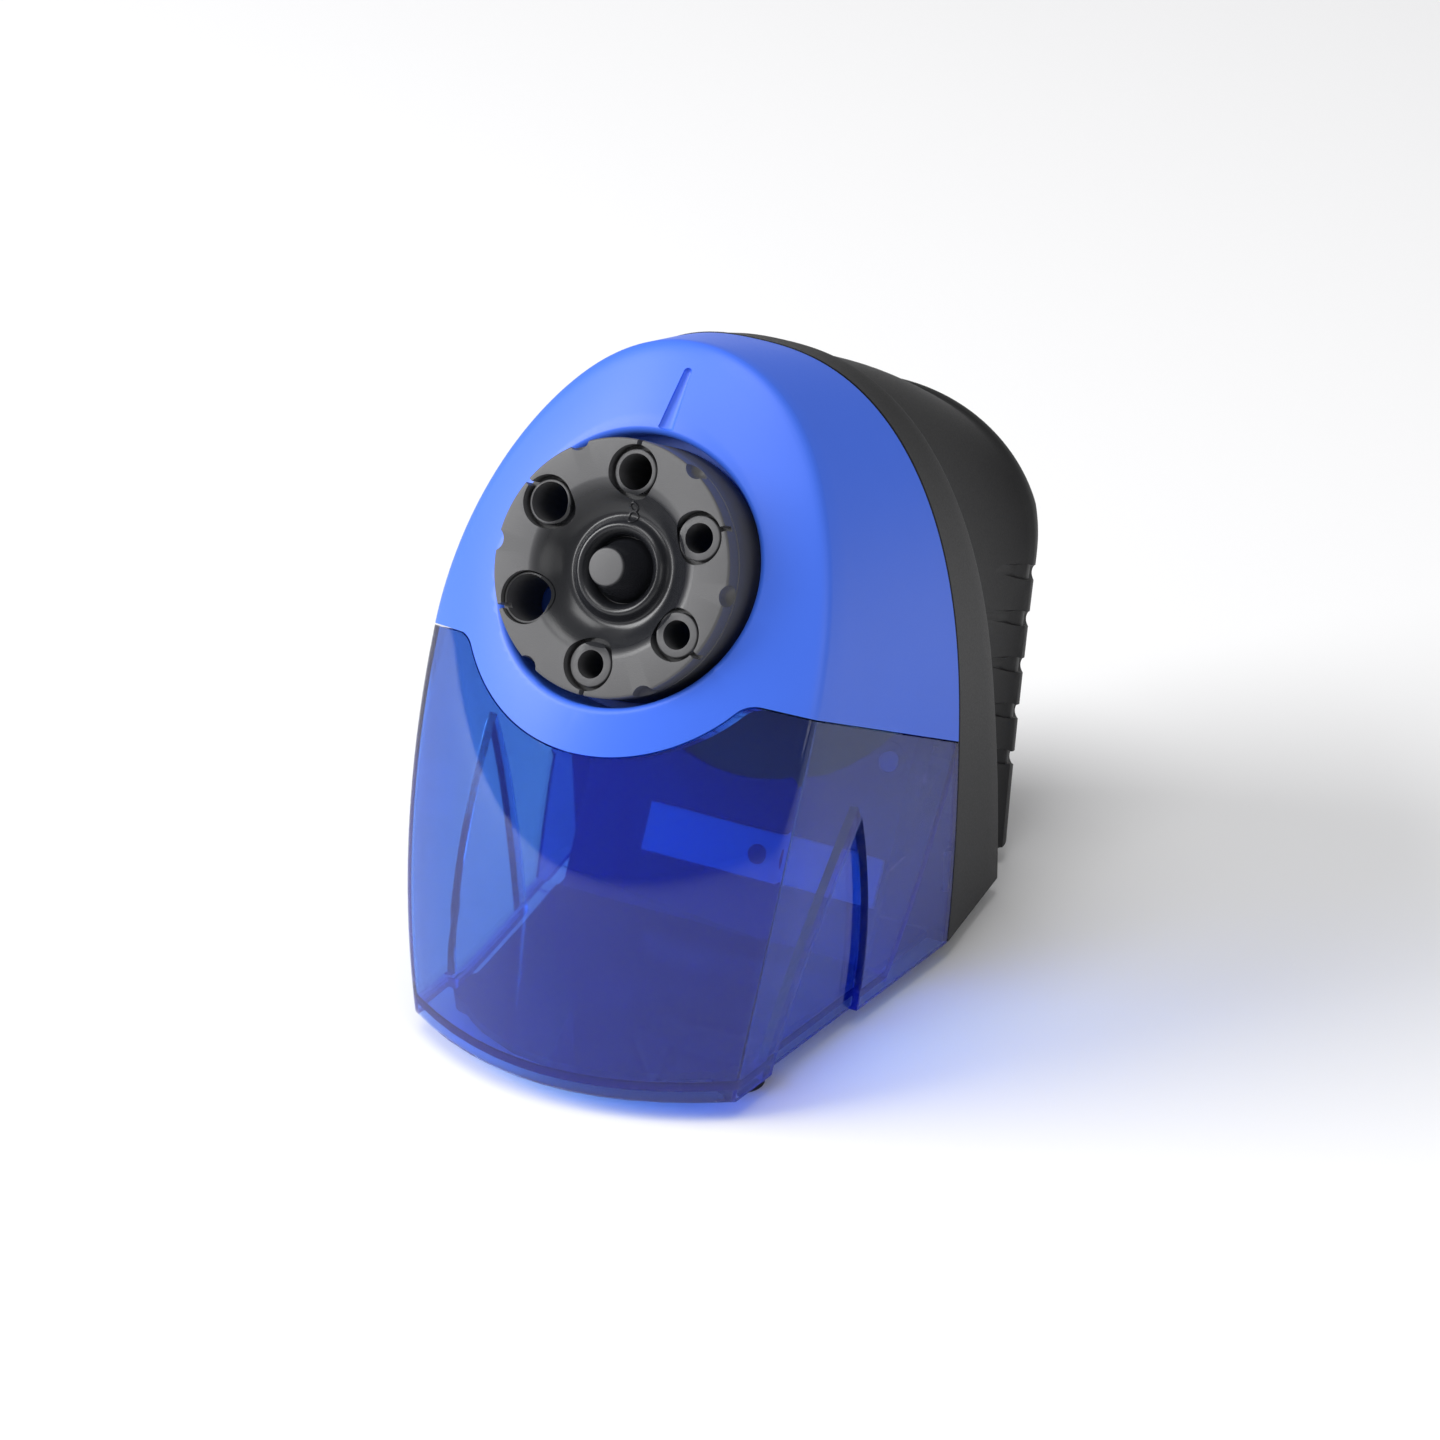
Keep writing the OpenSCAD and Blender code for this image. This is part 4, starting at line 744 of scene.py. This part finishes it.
def dial_outline():
    outline = [(0, -CRATER_FLOOR)]
    radii = [CRATER_R - CRATER_LIP * math.cos(math.pi / 2 * k / 10) for k in range(11)]
    radii += [CRATER_R + (VALLEY_R - CRATER_R) * k / 10 for k in range(1, 11)]
    radii += [VALLEY_R + (DISH_R - VALLEY_R) * k / 24 for k in range(1, 25)]
    outline += [(r, dish_height(r)) for r in radii]
    outline += arc_points((DIAL_R - 0.6, -0.6), 0.6, 90, 0, 6)
    outline += [(DIAL_R, -5.2), (DIAL_R - 0.35, -5.45), (DIAL_R - 0.35, -5.75), (DIAL_R - 0.1, -5.95)]
    return outline + [(DIAL_R - 0.1, -DIAL_T + 0.5), (DIAL_R - 0.6, -DIAL_T), (0, -DIAL_T)]


def posts(name, spots, z_from, z_to, soften=0.0):
    """Upright rods in the dial's frame, one at each (x, v, radius), as a single tool."""
    bm = bmesh.new()
    for x, v, radius in spots:
        made = bmesh.ops.create_cone(bm, cap_ends=True, segments=72, radius1=radius, radius2=radius,
                                     depth=z_to - z_from)["verts"]
        bmesh.ops.translate(bm, vec=(x, v, (z_from + z_to) / 2), verts=made)
    if soften:
        rims = [e for e in bm.edges if all(abs(v.co.z - z_to) < 1e-4 for v in e.verts)]
        bmesh.ops.bevel(bm, geom=rims, offset=soften, segments=5, profile=0.5, affect="EDGES", material=-1)
    return leaning(name, bm)


def slots_and_scallops():
    bm = bmesh.new()
    for spot, _ in hole_spots:
        a = math.atan2(spot.y, spot.x)
        made = block(bm, (SLOT_FROM, -SLOT_W / 2, -POCKET_D), (SLOT_TO, SLOT_W / 2, 2))
        bmesh.ops.rotate(bm, matrix=Matrix.Rotation(a, 3, "Z"), verts=made)
    slots = leaning("slots", bm)
    bm = bmesh.new()
    for spot, _ in hole_spots:
        a = math.atan2(spot.y, spot.x) + math.radians(HOLE_STEP / 2)
        out = DIAL_R + SCALLOP_OUT
        made = bmesh.ops.create_uvsphere(bm, u_segments=32, v_segments=20, radius=SCALLOP_R)["verts"]
        bmesh.ops.translate(bm, vec=(0, 0, SCALLOP_L), verts=[v for v in made if v.co.z > 0.001])
        bmesh.ops.translate(bm, vec=(out * math.cos(a), out * math.sin(a), -SCALLOP_D), verts=made)
    return slots, leaning("scallops", bm)


def figure_ring(name, v, r):
    """One of the two fine raised rings that make the figure 8, the size of the working hole."""
    bm = bmesh.new()
    turns = [math.pi * k / 6 for k in range(12)]
    section = [bm.verts.new((r + RING_WIRE_R * math.cos(a), 0, RING_WIRE_R * math.sin(a))) for a in turns]
    edges = [bm.edges.new((section[k - 1], section[k])) for k in range(12)]
    bmesh.ops.spin(bm, geom=section + edges, cent=(0, 0, 0), axis=(0, 0, 1), angle=2 * math.pi, steps=48,
                   use_merge=True)
    bmesh.ops.translate(bm, vec=(0, v, 0), verts=bm.verts)
    for vert in bm.verts:
        vert.co.z += dish_height(math.hypot(vert.co.x, vert.co.y)) + RING_LIFT
    return leaning(name, bm)


def click_dimples():
    """Six dimples in the dial's back, each the seat of the detent ball when it springs out."""
    low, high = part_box("detent_ball")
    ball = to_local @ ((low + high) / 2) / MM + Vector((0, 0, DETENT_TRAVEL))
    dimple_r = (high.x - low.x) / 2 / MM + DIMPLE_PLAY
    bm = bmesh.new()
    for k in range(6):
        seat = Matrix.Rotation(math.radians(HOLE_STEP * k), 3, "Z") @ ball
        made = bmesh.ops.create_uvsphere(bm, u_segments=32, v_segments=20, radius=dimple_r)["verts"]
        bmesh.ops.translate(bm, vec=seat, verts=made)
    return leaning("dimples", bm)


# Dark grey ABS: eroded on the dial's ring and side and on the cap's top, so it is dull there, and
# bright-moulded in the dish. On the ring, side and cap top the colour is also painted a paler grey:
# painted sheen, standing in for the broad reflection of the eroded skin. The grain is drawn at 0.4 mm,
# coarser than the real one, so that it shows.
grey_abs = new_material("dark_grey_abs")
where = add(grey_abs, "ShaderNodeTexCoord").outputs["Object"]
local = add(grey_abs, "ShaderNodeMapping", {"vector_type": "TEXTURE"}, Vector=where, Location=dial_centre,
            Rotation=(math.pi / 2 - LEAN, 0, 0), Scale=(MM, MM, MM))
level = add(grey_abs, "ShaderNodeVectorMath", {"operation": "MULTIPLY"}, _0=local.outputs[0], _1=(1, 1, 0))
radius = add(grey_abs, "ShaderNodeVectorMath", {"operation": "LENGTH"}, _0=level.outputs[0])
on_ring = add(grey_abs, "ShaderNodeMapRange", Value=radius.outputs["Value"], From_Min=19, From_Max=22)
on_cap = add(grey_abs, "ShaderNodeMapRange", Value=radius.outputs["Value"], From_Min=4.7, From_Max=4.3)
# flat marks the eroded ring, side and cap top: it sets their roughness and grain, and also paints their sheen into
# the colour below.
flat = add(grey_abs, "ShaderNodeMath", {"operation": "MAXIMUM"}, _0=on_ring.outputs["Result"],
           _1=on_cap.outputs["Result"])
grain = add(grey_abs, "ShaderNodeTexNoise", Vector=local.outputs[0], Scale=2.6, Detail=4, Roughness=0.7)
depth = add(grey_abs, "ShaderNodeMath", {"operation": "MULTIPLY"}, _0=grain.outputs["Fac"],
            _1=flat.outputs[0])
bump = add(grey_abs, "ShaderNodeBump", Height=depth.outputs[0], Strength=0.35, Distance=0.00015)
dull = add(grey_abs, "ShaderNodeMapRange", Value=flat.outputs[0], To_Min=0.27, To_Max=0.45)
# tone: dark grey in the dish, painted paler on the ring, side and cap top; the paler grey is painted sheen.
tone = add(grey_abs, "ShaderNodeMix", {"data_type": "RGBA"}, Factor=flat.outputs[0])
tone.inputs["A"].default_value = srgb("#1B1C20")
tone.inputs["B"].default_value = srgb("#4C4C4E")
finish_surface(grey_abs, add(grey_abs, "ShaderNodeBsdfPrincipled", Base_Color=tone.outputs["Result"],
                             Roughness=dull.outputs["Result"], Normal=bump.outputs["Normal"], IOR=1.5))

dial = spun("dial_moulding", dial_outline(), 192)
pockets = posts("pockets", [(p.x, p.y, POCKET_R) for p, _ in hole_spots], -POCKET_D, 2)
boss_spots = [(p.x, p.y, max(BOSS_R, r + BOSS_WALL)) for p, r in hole_spots]
bosses = posts("bosses", boss_spots, -POCKET_D - 1, -BOSS_DROP, BOSS_SOFT)
bores = posts("bores", [(p.x, p.y, r) for p, r in hole_spots], -DIAL_T - 1, 2)
slots, scallops = slots_and_scallops()
dimples = click_dimples()
upper_ring = figure_ring("upper_ring", UPPER_RING_V, UPPER_RING_R)
lower_ring = figure_ring("lower_ring", LOWER_RING_V, LOWER_RING_R)
join_or_cut(pockets, ("DIFFERENCE", bosses))
join_or_cut(dial, ("DIFFERENCE", pockets), ("DIFFERENCE", bores), ("DIFFERENCE", slots),
            ("DIFFERENCE", scallops), ("DIFFERENCE", dimples), ("UNION", upper_ring),
            ("UNION", lower_ring))
smooth(dial, 28)
dial.data.materials.clear()
dial.data.materials.append(grey_abs)
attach(dial, "dial")
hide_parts("dial")
bin_tools(pockets, bosses, bores, slots, scallops, dimples, upper_ring, lower_ring)

# ---------------------------------------------------------------- dial cap
# A cone-shaped cap of the same plastic snaps over the hub screw. Its flat top is eroded like the
# ring, and its flank is smooth and flares into the crater.

cap_outline = [(0, -7.95), (7.9, -7.95), (7.5, -7.4), (7.1, -6.6), (6.6, -5.2), (6.0, -3.2)]
cap_outline += [(5.45, -1), (5, 1)]
cap_outline += arc_points((4.1, 2.05), 0.45, 12, 90, 5) + [(0, 2.5)]
cap = spun("hub_cap", cap_outline, 96)
smooth(cap, 40)
cap.data.materials.append(grey_abs)
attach(cap, "dial")
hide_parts("dial_cap")

# ---------------------------------------------------------------- pieces that keep their CAD shape
# Everything inside the covers, the base, the gland and the feet: turned, stamped and moulded parts
# whose shape is already the real one. Each gets the surface that its real material has.

# Zinc-plated steel: stamped plates, screws and pins, with a cloudy pale sheen.
zinc = new_material("zinc_plated_steel")
where = add(zinc, "ShaderNodeTexCoord").outputs["Object"]
spangle = add(zinc, "ShaderNodeTexVoronoi", Vector=where, Scale=260)
cloudy = add(zinc, "ShaderNodeMapRange", Value=spangle.outputs["Distance"], To_Min=0.28, To_Max=0.44)
finish_surface(zinc, add(zinc, "ShaderNodeBsdfPrincipled", Base_Color=srgb("#C6C9CE"), Metallic=1.0,
                         Roughness=cloudy.outputs["Result"]))

# Hardened tool steel: ground, darker, with fine grinding lines along the pencil's axis.
tool_steel = new_material("ground_tool_steel")
where = add(tool_steel, "ShaderNodeTexCoord").outputs["Object"]
along = add(tool_steel, "ShaderNodeMapping", Vector=where, Rotation=(LEAN, 0, 0), Scale=(1, 0.05, 1))
lines = add(tool_steel, "ShaderNodeTexNoise", Vector=along.outputs[0], Scale=3500, Detail=2)
ground = add(tool_steel, "ShaderNodeMapRange", Value=lines.outputs["Fac"], To_Min=0.22, To_Max=0.42)
finish_surface(tool_steel, add(tool_steel, "ShaderNodeBsdfPrincipled", Base_Color=srgb("#8B8F94"),
                               Metallic=1.0, Roughness=ground.outputs["Result"]))

# Sintered bronze: pressed from powder, so it is dull and speckled.
bronze = new_material("sintered_bronze")
where = add(bronze, "ShaderNodeTexCoord").outputs["Object"]
powder = add(bronze, "ShaderNodeTexNoise", Vector=where, Scale=5000, Detail=2)
tone = add(bronze, "ShaderNodeMix", {"data_type": "RGBA"}, Factor=powder.outputs["Fac"])
tone.inputs["A"].default_value = srgb("#8E6A3C")
tone.inputs["B"].default_value = srgb("#C09A5E")
finish_surface(bronze, add(bronze, "ShaderNodeBsdfPrincipled", Base_Color=tone.outputs["Result"],
                           Metallic=1.0, Roughness=0.45))

# Natural acetal: waxy, milky white mouldings.
acetal = new_material("natural_acetal")
where = add(acetal, "ShaderNodeTexCoord").outputs["Object"]
milky = add(acetal, "ShaderNodeTexNoise", Vector=where, Scale=120, Detail=2)
tone = add(acetal, "ShaderNodeMix", {"data_type": "RGBA"}, Factor=milky.outputs["Fac"])
tone.inputs["A"].default_value = srgb("#DDDACE")
tone.inputs["B"].default_value = srgb("#EFEEE6")
finish_surface(acetal, add(acetal, "ShaderNodeBsdfPrincipled", Base_Color=tone.outputs["Result"],
                           Roughness=0.35, Subsurface_Weight=0.1))

# Motor laminations: bare electrical steel sheets, stacked along the shaft.
lamination = new_material("laminated_electrical_steel")
where = add(lamination, "ShaderNodeTexCoord").outputs["Object"]
upright = add(lamination, "ShaderNodeMapping", Vector=where, Rotation=(LEAN, 0, 0))
sheets = add(lamination, "ShaderNodeTexWave", {"bands_direction": "Y"}, Vector=upright.outputs[0], Scale=300)
edge_tone = add(lamination, "ShaderNodeMix", {"data_type": "RGBA"}, Factor=sheets.outputs["Fac"])
edge_tone.inputs["A"].default_value = srgb("#4A4D51")
edge_tone.inputs["B"].default_value = srgb("#8E9297")
finish_surface(lamination, add(lamination, "ShaderNodeBsdfPrincipled", Metallic=0.9, Roughness=0.5,
                               Base_Color=edge_tone.outputs["Result"]))

# Enamelled copper wire, wound in rows half a millimetre apart.
copper = new_material("enamelled_copper_wire")
where = add(copper, "ShaderNodeTexCoord").outputs["Object"]
rows = add(copper, "ShaderNodeTexWave", {"bands_direction": "X"}, Vector=where, Scale=640)
turns = add(copper, "ShaderNodeBump", Height=rows.outputs["Fac"], Strength=0.8, Distance=0.0002)
finish_surface(copper, add(copper, "ShaderNodeBsdfPrincipled", Base_Color=srgb("#B4602E"), Metallic=0.8,
                           Roughness=0.3, Normal=turns.outputs["Normal"]))

# Black rubber: dull and slightly dusty, for the feet and the motor's grommets.
rubber = new_material("black_rubber")
where = add(rubber, "ShaderNodeTexCoord").outputs["Object"]
dust = add(rubber, "ShaderNodeTexNoise", Vector=where, Scale=900, Detail=3)
matt = add(rubber, "ShaderNodeMapRange", Value=dust.outputs["Fac"], To_Min=0.7, To_Max=0.9)
finish_surface(rubber, add(rubber, "ShaderNodeBsdfPrincipled", Base_Color=srgb("#18181A"),
                           Roughness=matt.outputs["Result"], IOR=1.5))

# Phenolic and nylon mouldings of the switches and the fan: dark, with a low even sheen.
nylon = new_material("dark_nylon")
where = add(nylon, "ShaderNodeTexCoord").outputs["Object"]
skin = add(nylon, "ShaderNodeTexNoise", Vector=where, Scale=700, Detail=2)
even = add(nylon, "ShaderNodeMapRange", Value=skin.outputs["Fac"], To_Min=0.4, To_Max=0.55)
finish_surface(nylon, add(nylon, "ShaderNodeBsdfPrincipled", Base_Color=srgb("#23282D"),
                          Roughness=even.outputs["Result"], IOR=1.53))

# Red acetal: the safety plunger is coloured so that a fitter can find it.
red_acetal = new_material("red_acetal")
where = add(red_acetal, "ShaderNodeTexCoord").outputs["Object"]
skin = add(red_acetal, "ShaderNodeTexNoise", Vector=where, Scale=500, Detail=2)
even = add(red_acetal, "ShaderNodeMapRange", Value=skin.outputs["Fac"], To_Min=0.3, To_Max=0.4)
finish_surface(red_acetal, add(red_acetal, "ShaderNodeBsdfPrincipled", Base_Color=srgb("#C2392C"),
                               Roughness=even.outputs["Result"]))

# Lacquered laminate board, with the weave of its glass cloth just showing.
board = new_material("green_circuit_laminate")
where = add(board, "ShaderNodeTexCoord").outputs["Object"]
weave = add(board, "ShaderNodeTexChecker", Vector=where, Scale=1600)
weave.inputs["Color1"].default_value = srgb("#2A6437")
weave.inputs["Color2"].default_value = srgb("#2F6E3D")
finish_surface(board, add(board, "ShaderNodeBsdfPrincipled", Base_Color=weave.outputs["Color"],
                          Roughness=0.3))

FINISH_OF_SLOT = {"black_housing": black_abs, "rubber_black": rubber, "zinc_steel": zinc,
                  "tool_steel": tool_steel, "bronze": bronze, "acetal_white": acetal,
                  "lamination": lamination, "copper_wire": copper, "fan_grey": nylon,
                  "switch_body": nylon, "plunger_red": red_acetal, "board_green": board,
                  "blue_shell": blue_abs, "clear_blue": clear_blue, "dial_grey": grey_abs}
for part in frame["record"]["subparts"]:
    node_mesh = frame["nodes"][part["node"]].data
    node_mesh.materials.clear()
    node_mesh.materials.append(FINISH_OF_SLOT[part["material_slot"]])
